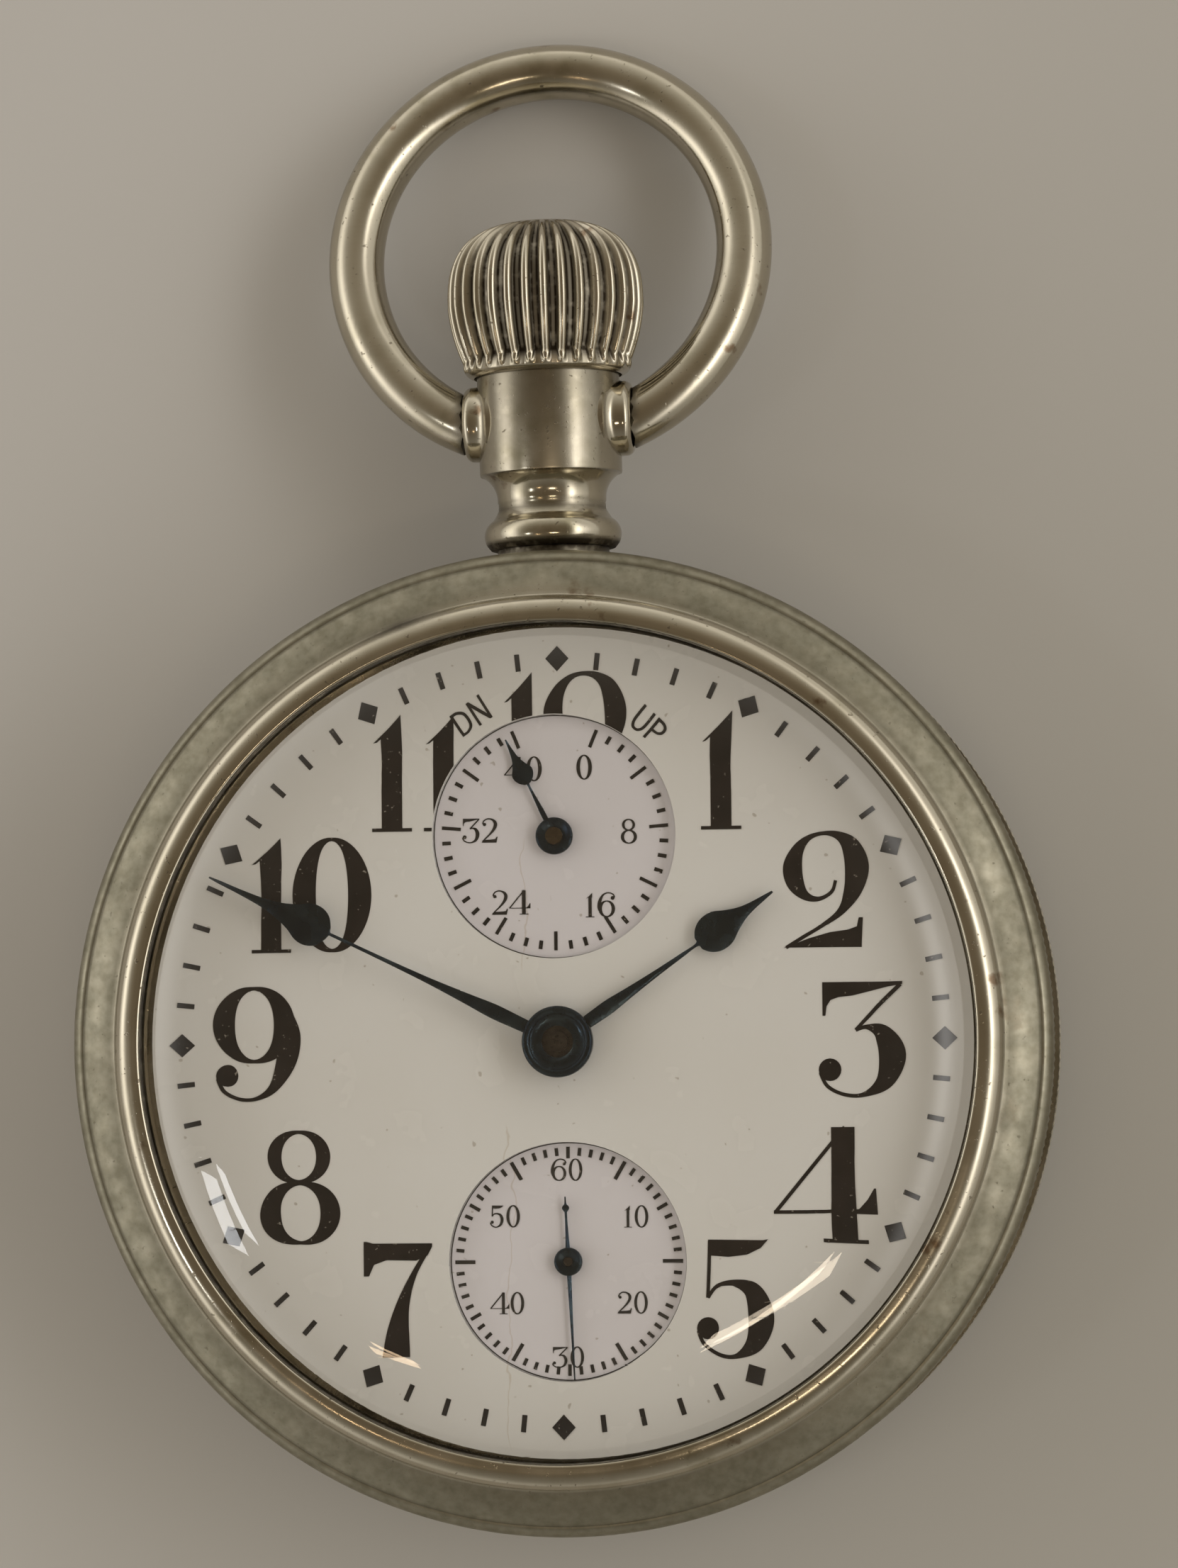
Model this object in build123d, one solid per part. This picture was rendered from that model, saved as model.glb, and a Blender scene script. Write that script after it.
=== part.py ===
"""Open face pocket watch, 18 size, in a screw case.

Millimetres.  The watch lies on its back: +Z leaves the dial, +Y points to the bow, and the origin
is the centre of the flat disc of the back cover that it rests on.
"""
from build123d import *
from math import asin, atan2, cos, degrees, hypot, pi, radians, sin, sqrt
import os

os.makedirs("parts", exist_ok=True)

# ---------------------------------------------------------------- case: driving dimensions
case_r = 28.5            # back cover and bezel, outside
cover_wall = 1.2         # skirt of the back cover and of the bezel
back_floor = 0.9         # flat bottom of the back cover
rest_r = 17.0            # flat disc that the watch lies on
seam_back_z = 4.4        # rim of the back cover
seam_front_z = 11.6      # lower rim of the bezel
seam_gap = 0.05          # between each cover's rim and the band's shoulder
thread_gap = 0.1         # between a cover's skirt and the collar that it screws on
collar_wall = 1.0        # thin collars of the band that the covers screw on
collar_h = 1.4
band_inset = 0.4         # the band's edge stands back from the covers' edges
edge_h = 1.5             # straight, milled edge of each cover
glass_r = 24.6           # crystal, at its edge
glass_edge_z = 14.15
glass_edge_t = 0.85
glass_top_z = 17.2       # overall thickness
glass_t = 1.15           # at its middle
glass_bevel_w = 3.7      # rounded edge of the crystal, outside its flatter dome
glass_lip = 0.5          # how far the bezel reaches over the crystal's edge
glass_fit = 0.05
stem_z = 8.0             # axis of the stem, pendant and bow
band_r = case_r - band_inset

# pendant, crown and bow, along +Y from the case's edge
pendant_r = 4.2
pendant_top = case_r + 10.85
pendant_wall = 1.6
neck_r = 3.15            # waist between the barrel of the pendant and its bead
bead_r = 4.03
foot_r = 3.3             # passes between the two covers
pivot_y = case_r + 8.0   # axis that the bow swings on
ear_r = 2.15
ear_out = 0.8            # how far each ear stands out of the pendant
bow_half_w = 11.6        # centreline of the bow's ring
bow_reach = 22.65        # from the pivot to the ring's far side
bow_wire_r = 1.65
bow_lift = 0.04          # the bow has dropped until its wire rests where the back does
bow_gap = 0.06           # between the bow's ends and the ears
pin_r = 0.8
crown_r = 5.8
crown_h = 8.85
crown_gap = 0.15         # between the pendant's rim and the crown
crown_flutes = 32
flute_w = 0.5
stem_r = 0.9
run_gap = 0.05           # radial clearance of every shaft in its hole
pendant_bore_r = pendant_r - pendant_wall
ear_x = pendant_r + ear_out
crown_bottom = pendant_top + crown_gap
crown_top = crown_bottom + crown_h

# ---------------------------------------------------------------- dial and hands
dial_r = 23.5
dial_top_z = 12.4
dial_t = 0.7
subdial_t = 0.5
subdial_lip = 0.55       # how far a sunk dial reaches under the main dial
seconds_y = -12.68       # centre of the seconds dial
seconds_r = 6.9
indicator_y = 11.92      # centre of the winding indicator's dial
indicator_r = 7.09
hour_angle = 57.0        # hands, in degrees clockwise from 12
minute_angle = 297.0
seconds_angle = 178.8
indicator_angle = 334.8
hand_t = 0.25

# ---------------------------------------------------------------- movement: levels along Z
plate_r = 22.45          # pillar plate where it enters the band
flange_r = 23.5          # its flange under the dial
plate_low_z = 9.3
plate_top_z = 11.2
flange_low_z = 10.4
bridge_low_z = 4.4       # outer face of the bridges, seen with the back cover off
bridge_top_z = 5.8
bridge_r = 22.2
barrel_recess_z = 10.05
motion_recess_z = 10.55
indicator_recess_z = 10.5
wheel_recess_z = 5.25    # floor of the sunk winding wheels
dial_low_z = dial_top_z - dial_t
pivot_r = 0.15
jewel_gap = 0.03

# train: tooth counts and modules
barrel_teeth, centre_leaves, barrel_module = 80, 12, 0.235
centre_teeth, third_leaves, centre_module = 80, 10, 0.17
third_teeth, fourth_leaves, third_module = 75, 10, 0.15
fourth_teeth, escape_leaves, fourth_module = 80, 8, 0.13
cannon_teeth, minute_teeth, cannon_module = 12, 36, 0.1875
minute_leaves, hour_teeth, hour_module = 10, 40, 0.18
crown_wheel_teeth, ratchet_teeth, winding_module = 45, 56, 0.2
winding_teeth, face_teeth = 18, 30
face_pitch_r = 4.1
arbor_leaves, idler_teeth, idler_module = 12, 30, 0.2
idler_leaves, indicator_teeth, indicator_module = 12, 33, 0.21
escape_teeth = 15
escape_r = 4.0

LOW = (Align.CENTER, Align.CENTER, Align.MIN)


def polar(radius, angle, centre=(0, 0)):
    """Point at a radius and an angle (degrees, anticlockwise from +X) about a centre."""
    return (centre[0] + radius * cos(radians(angle)), centre[1] + radius * sin(radians(angle)))


def bearing(a, b):
    """Direction from point a to point b, in degrees."""
    return degrees(atan2(b[1] - a[1], b[0] - a[0]))


def meet(a, ra, b, rb, side):
    """Point ra away from a and rb away from b, on the chosen side of the line from a to b."""
    gap = hypot(b[0] - a[0], b[1] - a[1])
    along = (ra * ra - rb * rb + gap * gap) / (2 * gap)
    off = side * sqrt(ra * ra - along * along)
    return polar(off, bearing(a, b) + 90, polar(along, bearing(a, b), a))


# ---------------------------------------------------------------- where the arbors stand
centre_at = (0.0, 0.0)
fourth_at = (0.0, seconds_y)
third_at = meet(centre_at, (centre_teeth + third_leaves) * centre_module / 2,
                fourth_at, (third_teeth + fourth_leaves) * third_module / 2, 1)
escape_at = polar((fourth_teeth + escape_leaves) * fourth_module / 2, 180, fourth_at)
barrel_at = polar((barrel_teeth + centre_leaves) * barrel_module / 2, 45)
minute_at = polar((cannon_teeth + minute_teeth) * cannon_module / 2, 0)
balance_at = (-12.2, -3.5)
lever_angle = bearing(escape_at, balance_at)
pallet_at = polar(escape_r / cos(radians(30)), lever_angle, escape_at)
winding_span = (crown_wheel_teeth + ratchet_teeth) * winding_module / 2
crown_wheel_at = (0.0, barrel_at[1] + sqrt(winding_span ** 2 - barrel_at[0] ** 2))
indicator_at = (0.0, indicator_y)
idler_at = meet(barrel_at, (arbor_leaves + idler_teeth) * idler_module / 2,
                indicator_at, (idler_leaves + indicator_teeth) * indicator_module / 2, 1)

train_pillars = [(17.5, -8.5), (9.0, -17.5), (-4.5, -19.8)]
barrel_pillars = [(19.3, 4.6), (8.2, 19.0), (-4.6, 18.9), (-7.2, 8.6)]
pillar_r = 1.3
cock_foot_at = (-15.6, 9.6)
case_screw_angles = (-35, 215)
case_screw_r = 21.9
dial_foot_angles = (10, 130, 262)
dial_foot_r = 20.5
lever_slot_angle = 50    # direction that the setting lever is drawn out in
click_at = (14.6, 12.6)
balance_sink_r = 9.3


# ---------------------------------------------------------------- helpers
def disc(radius, low, high, at=(0, 0)):
    return Pos(at[0], at[1], low) * Cylinder(radius, high - low, align=LOW)


def ring(outer, inner, low, high, at=(0, 0)):
    return disc(outer, low, high, at) - disc(inner, low - 1, high + 1, at)


def bar(length, width, low, high, at=(0, 0), angle=0):
    """Flat bar that starts at a point and runs out along an angle."""
    shape = Box(length, width, high - low, align=(Align.MIN, Align.CENTER, Align.MIN))
    return Pos(at[0], at[1], low) * Rot(0, 0, angle) * shape


def outline(start, *steps):
    """Closed flat face; a step is a point, or a pair of points for an arc through the first."""
    here = start
    edges = []
    for step in steps:
        if isinstance(step[0], tuple):
            edges.append(ThreePointArc(here, step[0], step[1]))
            here = step[1]
        else:
            edges.append(Line(here, step))
            here = step
    edges.append(Line(here, start))
    return make_face(edges)


def dome_mid(edge_r, edge_z, top_z):
    """Middle point of an arc that is centred on the axis of revolution."""
    sphere_r = (edge_r ** 2 + (top_z - edge_z) ** 2) / (2 * (top_z - edge_z))
    return (edge_r / 2, top_z - sphere_r + sqrt(sphere_r ** 2 - edge_r ** 2 / 4))


def turned(start, *steps):
    """Solid of revolution about Z, from (radius, height) points."""
    return revolve(Plane.XZ * outline(start, *steps), Axis.Z)


def turned_stem(start, *steps):
    """Solid of revolution about the stem's axis, from (radius, distance along +Y) points."""
    return Pos(0, 0, stem_z) * revolve(outline(start, *steps), Axis.Y)


def plate(face, low, high):
    return extrude(Pos(0, 0, low) * face, high - low)


def half(angle, offset):
    """Large flat face that holds every point further than offset along a direction."""
    return Rot(0, 0, angle) * Pos(offset, 0) * Rectangle(80, 80, align=(Align.MIN, Align.CENTER))


def gear(teeth, module, low, high, at=(0, 0), toward=0.0, gap=False, addendum=0.95, dedendum=1.25):
    """Gear with a tooth, or a gap, on the side that it meets its mate."""
    pitch_r = teeth * module / 2
    step = 2 * pi / teeth
    first = radians(toward) + (step / 2 if gap else 0)
    corners = []
    for tooth in range(teeth):
        middle = first + tooth * step
        for share, radius in ((-0.30, pitch_r - dedendum * module), (-0.11, pitch_r + addendum * module),
                              (0.11, pitch_r + addendum * module), (0.30, pitch_r - dedendum * module)):
            corners.append((radius * cos(middle + share * step), radius * sin(middle + share * step)))
    return Pos(at[0], at[1], 0) * plate(make_face(Polyline(*corners, close=True)), low, high)


def crossed(wheel, rim_in, hub, arm_w, arms, low, high, at, start=0):
    """Wheel with its web cut away between the arms."""
    window = ring(rim_in, hub, low - 0.1, high + 0.1, at)
    for arm in range(arms):
        window -= bar(rim_in + 1, arm_w, low - 0.2, high + 0.2, at, start + 360 * arm / arms)
    return wheel - window


def arbor(body_r, at, low=5.95, high=9.25, low_pivot=4.6, high_pivot=10.2):
    """Arbor with a shoulder and a pivot at each end."""
    body = disc(body_r, low, high, at)
    return body + disc(pivot_r, low_pivot, low, at) + disc(pivot_r, high, high_pivot, at)


def screw(head_r, head_low, head_high, shank_r, tip, at, slot_angle=30):
    """Screw driven from the back: slotted head below, shank above."""
    slot = Pos(at[0], at[1], head_low) * Rot(0, 0, slot_angle) * Box(3 * head_r, 0.26, 0.4)
    return disc(head_r, head_low, head_high, at) - slot + disc(shank_r, head_high, tip, at)


def spiral_strip(inner, outer, turns, thickness, low, high, at, start=0):
    """Flat coiled strip, drawn as short chords."""
    steps = int(turns * 24)
    sides = ([], [])
    for side, offset in enumerate((-thickness / 2, thickness / 2)):
        for k in range(steps + 1):
            radius = inner + (outer - inner) * k / steps + offset
            sides[side].append(polar(radius, start + 360 * turns * k / steps, at))
    return plate(make_face(Polyline(*sides[0], *reversed(sides[1]), close=True)), low, high)


def save(name, shape):
    if isinstance(shape, (list, tuple)):
        shape = Compound(children=list(shape))
    shape.label = name
    export_step(shape, f"parts/{name}.step")


# ---------------------------------------------------------------- case
collar_out = case_r - cover_wall - thread_gap
collar_in = collar_out - collar_wall
ledge_low_z = 6.2        # case screws bear on the ledge that carries the movement
seat_r = flange_r + 0.2
seat_top_z = dial_top_z - 0.2
lever_travel = 2.0
lever_reach = flange_r + lever_travel + 0.3
stem_hole_r = stem_r + 0.5


def case_band():
    band = turned((band_r, seam_back_z + seam_gap), (band_r, seam_front_z - seam_gap),
                  (collar_out, seam_front_z - seam_gap), (collar_out, seam_front_z + collar_h),
                  (collar_in, seam_front_z + collar_h), (collar_in, seat_top_z), (seat_r, seat_top_z),
                  (seat_r, flange_low_z), (plate_r + 0.15, flange_low_z), (plate_r + 0.15, ledge_low_z),
                  (collar_in, ledge_low_z), (collar_in, seam_back_z - collar_h),
                  (collar_out, seam_back_z - collar_h), (collar_out, seam_back_z + seam_gap))
    stem_hole = turned_stem((0, plate_r - 1), (stem_hole_r, plate_r - 1), (stem_hole_r, case_r), (0, case_r))
    pocket = bar(lever_reach, lever_w + 0.4, plate_top_z - 0.05, dial_low_z, (0, 0), lever_slot_angle)
    return band - stem_hole - (pocket - disc(seat_r - 0.5, 0, 20))


def pendant():
    neck = case_r            # heights along +Y are counted from the case's edge
    body = turned_stem((stem_hole_r, band_r - 1.2), (foot_r, band_r - 1.2), (foot_r, neck + 0.15),
                       (foot_r + 0.5, neck + 0.15), (foot_r + 0.5, neck + 0.45),
                       ((bead_r, neck + 1.3), (foot_r + 0.3, neck + 2.15)), (neck_r + 0.2, neck + 2.45),
                       (neck_r, neck + 2.8), (neck_r, neck + 3.2),
                       ((neck_r + 0.24 * (pendant_r - neck_r), neck + 4.2), (pendant_r, neck + 4.9)),
                       (pendant_r, pendant_top), (pendant_bore_r, pendant_top), (pendant_bore_r, sleeve_y - 0.1),
                       (stem_hole_r, sleeve_y - 0.7))
    ear = Pos(0, pivot_y, stem_z) * Rot(0, 90, 0) * Cylinder(ear_r, 2 * ear_x)
    ear = fillet(ear.edges().filter_by(GeomType.CIRCLE), 0.25)
    inside = pendant_r - 0.4
    ear -= turned_stem((0, neck), (inside, neck), (inside, pendant_top), (0, pendant_top))
    holes = Pos(0, pivot_y, stem_z) * Rot(0, 90, 0) * Cylinder(pin_r + run_gap, 2 * ear_x + 1)
    return body + ear - holes - disc(band_r, 0, 20)


sleeve_y = case_r + 3.2
sleeve_h = 3.5


def pendant_sleeve():
    tube_r = pendant_bore_r - 0.02
    bore = stem_r + run_gap
    top = sleeve_y + sleeve_h
    sleeve = turned_stem((bore, sleeve_y), (tube_r, sleeve_y), (tube_r, top), (bore, top))
    return sleeve - Pos(0, top, stem_z) * Box(2 * tube_r + 1, 1.2, 0.5)


def bow():
    cut_x = ear_x + bow_gap
    share = sqrt(1 - (cut_x / bow_half_w) ** 2)      # the ring meets the ears at the pivot's height
    half_h = bow_reach / (1 + share)
    centre_y = pivot_y + bow_reach - half_h
    end_angle = degrees(atan2(-share, cut_x / bow_half_w)) - 6
    arc = EllipticalCenterArc((0, 0), bow_half_w, half_h, end_angle, arc_size=180 - 2 * end_angle)
    route = Pos(0, centre_y, stem_z) * arc
    hoop = sweep((Plane(route @ 0, z_dir=route % 0)) * Circle(bow_wire_r), route)
    hoop -= Pos(0, centre_y, stem_z) * Box(2 * cut_x, 40, 10, align=(Align.CENTER, Align.MAX, Align.CENTER))
    for side in (-1, 1):
        pin_in = pendant_r - 0.6
        pin_out = cut_x + 1.6
        pin = Cylinder(pin_r, pin_out - pin_in)
        hoop += Pos(side * (pin_in + pin_out) / 2, pivot_y, stem_z) * Rot(0, 90, 0) * pin
    droop = degrees(asin((stem_z - bow_wire_r - bow_lift) / bow_reach))
    return Pos(0, pivot_y, stem_z) * Rot(-droop, 0, 0) * Pos(0, -pivot_y, -stem_z) * hoop


def crown():
    low = crown_bottom       # shapes below are set out from the crown's lower rim
    hub_r = pendant_bore_r - 0.3
    shoulder_r, shoulder_y = crown_r - 2.8, crown_top - 0.4
    shell = turned_stem((0, low - 1.6), (hub_r, low - 1.6), (hub_r, low), (crown_r - 1.4, low),
                        ((crown_r - 0.4, low + 1.75), (crown_r, low + 3.8)),
                        ((crown_r - 0.65, low + 7.1), (shoulder_r, shoulder_y)),
                        (dome_mid(shoulder_r, shoulder_y, crown_top), (0, crown_top)))
    groove = turned_stem((crown_r - 0.42, low + 2.3), (crown_r + 1, low - 0.55), (crown_r + 1, crown_top + 0.9),
                         (shoulder_r, crown_top + 0.9),
                         ((crown_r - 1.0, low + 7.05), (crown_r - 0.45, low + 4.2)))
    wedge = Pos(0, low + 4, stem_z) * Box(flute_w, 12, 2 * crown_r, align=(Align.CENTER, Align.CENTER, Align.MIN))
    flute = groove & wedge
    for k in range(crown_flutes):
        turn = Pos(0, 0, stem_z) * Rot(0, 360 * k / crown_flutes, 0) * Pos(0, 0, -stem_z)
        shell -= turn * flute
    return shell - turned_stem((0, low - 3), (stem_r, low - 3), (stem_r, stem_out), (0, stem_out))


stem_in = 15.35                     # inner end of the stem
stem_out = crown_bottom + 4.95      # its outer end, inside the crown
stem_pilot_r = 0.6
stem_square_r = stem_r - 0.1        # carries the winding pinion
pinion_y = 17.6


def winding_stem():
    square_y = pinion_y - 0.1
    return turned_stem((0, stem_in), (stem_pilot_r, stem_in), (stem_pilot_r, square_y), (stem_square_r, square_y),
                       (stem_square_r, pinion_y + 2.5), (stem_r, pinion_y + 2.5), (stem_r, stem_out), (0, stem_out))


def winding_pinion():
    module = 2 * winding_r / winding_teeth
    teeth = gear(winding_teeth, module, 0, 1.3, (0, 0), -90, True, 0.7, 1.0)
    hub = Pos(0, 0, 1.3) * Cylinder(1.5, 0.9, align=LOW)
    bore = Cylinder(stem_square_r, 8)
    return Pos(0, pinion_y, stem_z) * Rot(-90, 0, 0) * Rot(0, 0, 180) * (teeth + hub - bore)


def back_cover():
    inner = case_r - cover_wall
    thread_z = seam_back_z - collar_h - 0.15
    swell = case_r - rest_r          # the shoulder between the flat disc and the milled edge
    return turned((0, 0), (rest_r, 0), ((rest_r + 0.56 * swell, 0.55), (rest_r + 0.896 * swell, 2.1)),
                  ((case_r - 0.5, 2.6), (case_r, seam_back_z - edge_h + 0.05)), (case_r, seam_back_z),
                  (inner, seam_back_z), (inner, thread_z), (collar_in - 0.3, thread_z),
                  ((rest_r + 0.49 * swell, back_floor + 0.55), (rest_r - 0.5, back_floor)), (0, back_floor))


def bezel():
    inner = case_r - cover_wall
    thread_z = seam_front_z + collar_h + 0.15
    edge_z = seam_front_z + edge_h
    ridge_r = glass_r + 1.2          # rolled ridge round the crystal
    ridge_z = glass_edge_z + 1.15
    lip_r = glass_r - glass_lip
    lip_z = glass_edge_z + glass_edge_t + glass_fit
    sight_r = dial_r + 0.4
    shoulder = (ridge_r + 0.52 * (case_r - ridge_r), ridge_z - 0.7)
    return turned((inner, seam_front_z), (case_r, seam_front_z), (case_r, edge_z), (case_r - 0.25, edge_z + 0.25),
                  (shoulder, (ridge_r, ridge_z)), ((lip_r + 0.85, ridge_z + 0.55), (lip_r + 0.05, ridge_z + 0.15)),
                  (lip_r, lip_z), (glass_r + glass_fit, lip_z), (glass_r + glass_fit, glass_edge_z - glass_fit),
                  (sight_r, glass_edge_z - glass_fit), (sight_r, seat_top_z + 0.3),
                  (collar_in - 0.15, seat_top_z + 0.3), (collar_in - 0.15, thread_z), (inner, thread_z))


def crystal():
    inside_z, inside_r = glass_top_z - glass_t, glass_r - 2.0
    rim_r = glass_r - glass_lip - 0.1
    bevel_r, bevel_z = rim_r - glass_bevel_w, glass_top_z - 0.45
    bevel_mid = (rim_r - 0.4 * glass_bevel_w, glass_top_z - 1.1)
    foot_z = glass_edge_z + 0.35
    return turned((0, inside_z), (dome_mid(inside_r, foot_z, inside_z), (inside_r, foot_z)),
                  (glass_r, glass_edge_z), (glass_r, glass_edge_z + glass_edge_t),
                  (rim_r, glass_edge_z + glass_edge_t), (bevel_mid, (bevel_r, bevel_z)),
                  (dome_mid(bevel_r, bevel_z, glass_top_z), (0, glass_top_z)))


# ---------------------------------------------------------------- plates and bridges
def bore_all(shape, spots, radius, low, high):
    for spot in spots:
        shape -= disc(radius, low, high, spot)
    return shape


setting_spots = [third_at, fourth_at, escape_at]
setting_r, jewel_r, setting_t = 1.2, 0.55, 0.6
centre_setting_r, centre_jewel_r, centre_pivot_r = 1.7, 0.95, 0.5


def hanging_block(width, start_y, length, low):
    """Block under the pillar plate that carries the stem."""
    shape = Box(width, length, plate_low_z + 0.1 - low, align=(Align.CENTER, Align.MIN, Align.MIN))
    return Pos(0, start_y, low) * shape


def pillar_plate():
    body = disc(plate_r, plate_low_z, plate_top_z) + ring(flange_r, 21.5, flange_low_z, dial_low_z)
    body += disc(flange_r, flange_low_z, plate_top_z)
    body -= disc(barrel_teeth * barrel_module / 2 + 0.5, plate_low_z - 1, barrel_recess_z, barrel_at)
    body -= disc(4.2, motion_recess_z, 12) + disc(3.9, motion_recess_z, 12, minute_at)
    for spot, radius in ((indicator_at, 3.95), (idler_at, 3.4), (barrel_at, 1.7)):
        body -= disc(radius, indicator_recess_z, 12, spot)
    body += disc(minute_post_r, motion_recess_z, 11.6, minute_at)
    body -= disc(0.65, 0, 20)
    body -= disc(0.25 + run_gap, 0, 20, fourth_at)
    body = bore_all(body, [third_at, escape_at, pallet_at], pivot_r + jewel_gap, plate_low_z - 1, 10.3)
    body = bore_all(body, [balance_at], setting_r, plate_low_z - 1, plate_low_z + setting_t)
    body = bore_all(body, [balance_at], 0.4, plate_low_z - 1, 10.5)
    body = bore_all(body, [indicator_at, idler_at], 0.3 + run_gap, plate_low_z - 1, 12)
    body -= disc(arbor_end_r + run_gap, 0, 20, barrel_at)
    for foot in dial_foot_angles:
        body -= disc(0.42, 9.5, 20, polar(dial_foot_r, foot))
        body -= Rot(0, 0, foot) * Pos(dial_foot_r, 0, 9.85) * Rot(0, 90, 0) * Cylinder(0.4, 4, align=LOW)
    body = bore_all(body, [polar(case_screw_r, a) for a in case_screw_angles], 0.5, 0, 10.4)
    body = bore_all(body, [cock_foot_at], 0.5, 0, 10.3)
    body -= bar(30, 1.7, plate_top_z, 20, (0, 0), lever_slot_angle) - disc(15, 0, 30)
    slot_w = 2 * (winding_r + 0.45)
    slot_h = stem_z + winding_r + 0.35 - plate_low_z
    slot = Box(slot_w, 2.6, 2 * slot_h, align=(Align.CENTER, Align.MIN, Align.CENTER))
    body -= Pos(0, pinion_y - 0.2, plate_low_z) * slot
    pilot, journal = stem_pilot_r + run_gap, stem_r + run_gap
    inner = hanging_block(2.4, stem_in + 0.05, 1.9, stem_z - 1.0)
    inner -= turned_stem((0, 10), (pilot, 10), (pilot, 18), (0, 18))
    outer = hanging_block(2 * stem_r + 1.6, 20.2, 2.0, stem_z - stem_r - 0.4)
    outer -= turned_stem((0, 18), (journal, 18), (journal, 24), (0, 24))
    return body + inner + outer


def bridge_face():
    keep = Circle(bridge_r) & half(70, 3.5)
    return keep - half(145, 16.5)


def train_plate():
    face = (Circle(bridge_r) - half(70, 3.3)) - half(150, 5.0) - half(196, 11.4)
    face -= Pos(*balance_at) * Circle(balance_sink_r)
    body = plate(face, bridge_low_z, bridge_top_z)
    body = bore_all(body, setting_spots, setting_r, 0, bridge_low_z + setting_t)
    body = bore_all(body, setting_spots, 0.35, 0, 9)
    body = bore_all(body, [centre_at], centre_setting_r, 0, bridge_low_z + setting_t)
    body = bore_all(body, [centre_at], centre_pivot_r + 0.2, 0, 9)
    body = bore_all(body, [polar(case_screw_r, a) for a in case_screw_angles], 1.5, 0, 9)
    return drill_for_screws(body, train_pillars)


screw_head_r, screw_head_t, screw_shank_r = 1.15, 0.5, 0.5
minute_post_r = 0.45
lever_w = 1.6
winding_r = winding_teeth * face_pitch_r / face_teeth


def drill_for_screws(body, spots):
    body = bore_all(body, spots, screw_head_r + 0.05, 0, bridge_low_z + 0.3)
    return bore_all(body, spots, screw_shank_r, 0, 9)


ratchet_r = ratchet_teeth * winding_module / 2
crown_wheel_r = crown_wheel_teeth * winding_module / 2
click_tip_at = polar(ratchet_r + 0.27, bearing(barrel_at, click_at) + 18, barrel_at)


def barrel_bridge():
    body = plate(bridge_face(), bridge_low_z, bridge_top_z)
    body -= disc(ratchet_r + 0.4, 0, wheel_recess_z, barrel_at)
    body -= disc(crown_wheel_r + 0.45, 0, wheel_recess_z, crown_wheel_at)
    body -= ring(face_pitch_r + 0.5, face_pitch_r - 0.6, 0, 5.55, crown_wheel_at)
    body -= disc(2.2, 0, wheel_recess_z, click_at) + disc(1.9, 0, wheel_recess_z, click_tip_at)
    body -= bar(3.6, 2.4, 0, wheel_recess_z, click_at, bearing(click_at, click_tip_at))
    body -= disc(arbor_r + run_gap, 0, 9, barrel_at)
    body = bore_all(body, [crown_wheel_at, click_at], 0.5, 0, 9)
    body -= Pos(0, pinion_y - 0.3, 0) * Box(2 * winding_r + 1.08, 5.2, 20, align=(Align.CENTER, Align.MIN, Align.CENTER))
    return drill_for_screws(body, barrel_pillars)


def pillars():
    posts = []
    for spot in train_pillars + barrel_pillars:
        posts.append(disc(pillar_r, bridge_top_z, plate_low_z, spot) - disc(screw_shank_r, 0, 7.6, spot))
    return posts


cock_low_z, cock_arm_z = bridge_low_z, 5.6


def balance_cock():
    foot_face = (Circle(22.0) & half(145, 16.9) & half(170, 12.4)) - Pos(*balance_at) * Circle(balance_sink_r)
    foot = plate(foot_face, cock_low_z, plate_low_z)
    arm_face = make_hull((Pos(*balance_at) * Circle(2.9)).edges() + (Pos(*cock_foot_at) * Circle(3.2)).edges())
    arm_face -= half(70, 3.1) - half(145, 16.9)
    body = foot + plate(arm_face, cock_low_z, cock_arm_z)
    body -= disc(setting_r, 0, cock_low_z + setting_t, balance_at) + disc(0.4, 0, 8, balance_at)
    body -= disc(0.45, 0, 6, stud_at)
    return body - disc(0.5, 0, 20, cock_foot_at)


pallet_post_at = [polar(4.4, lever_angle + side, pallet_at) for side in (-75, 75)]


def pallet_bridge():
    face = make_hull((Pos(*pallet_at) * Circle(0.9)).edges() + (Pos(*pallet_post_at[0]) * Circle(1.0)).edges())
    face += make_hull((Pos(*pallet_at) * Circle(0.9)).edges() + (Pos(*pallet_post_at[1]) * Circle(1.0)).edges())
    body = plate(face, 7.65, 8.05)
    for end in pallet_post_at:
        body += disc(0.85, 8.05, plate_low_z, end)
        body -= disc(0.55, 7, 7.9, end) + disc(0.3, 7, 20, end)
    return body - disc(pivot_r + jewel_gap, 0, 20, pallet_at)


def cock_screws():
    screws = [screw(screw_head_r, cock_low_z - screw_head_t, cock_low_z, screw_shank_r, 10.2, cock_foot_at, 70)]
    for post in pallet_post_at:
        screws.append(screw(0.54, 7.65, 7.9, 0.3, plate_low_z, post))
    return screws


def plate_screws():
    screws = []
    for k, spot in enumerate(train_pillars + barrel_pillars):
        screws.append(screw(screw_head_r, bridge_low_z - 0.2, bridge_low_z + 0.3, screw_shank_r, 7.5, spot, 25 + 47 * k))
    core = screw(2.2, 4.25, 4.6, 1.3, wheel_recess_z, crown_wheel_at, 15) + disc(0.5, wheel_recess_z, 5.8, crown_wheel_at)
    pawl = screw(0.95, 4.2, 4.55, 0.5, 5.8, click_at, 100)
    return screws + [core, pawl]


def case_screws():
    return [screw(1.3, 5.5, ledge_low_z, 0.5, 10.3, polar(case_screw_r, a), a) for a in case_screw_angles]


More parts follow.
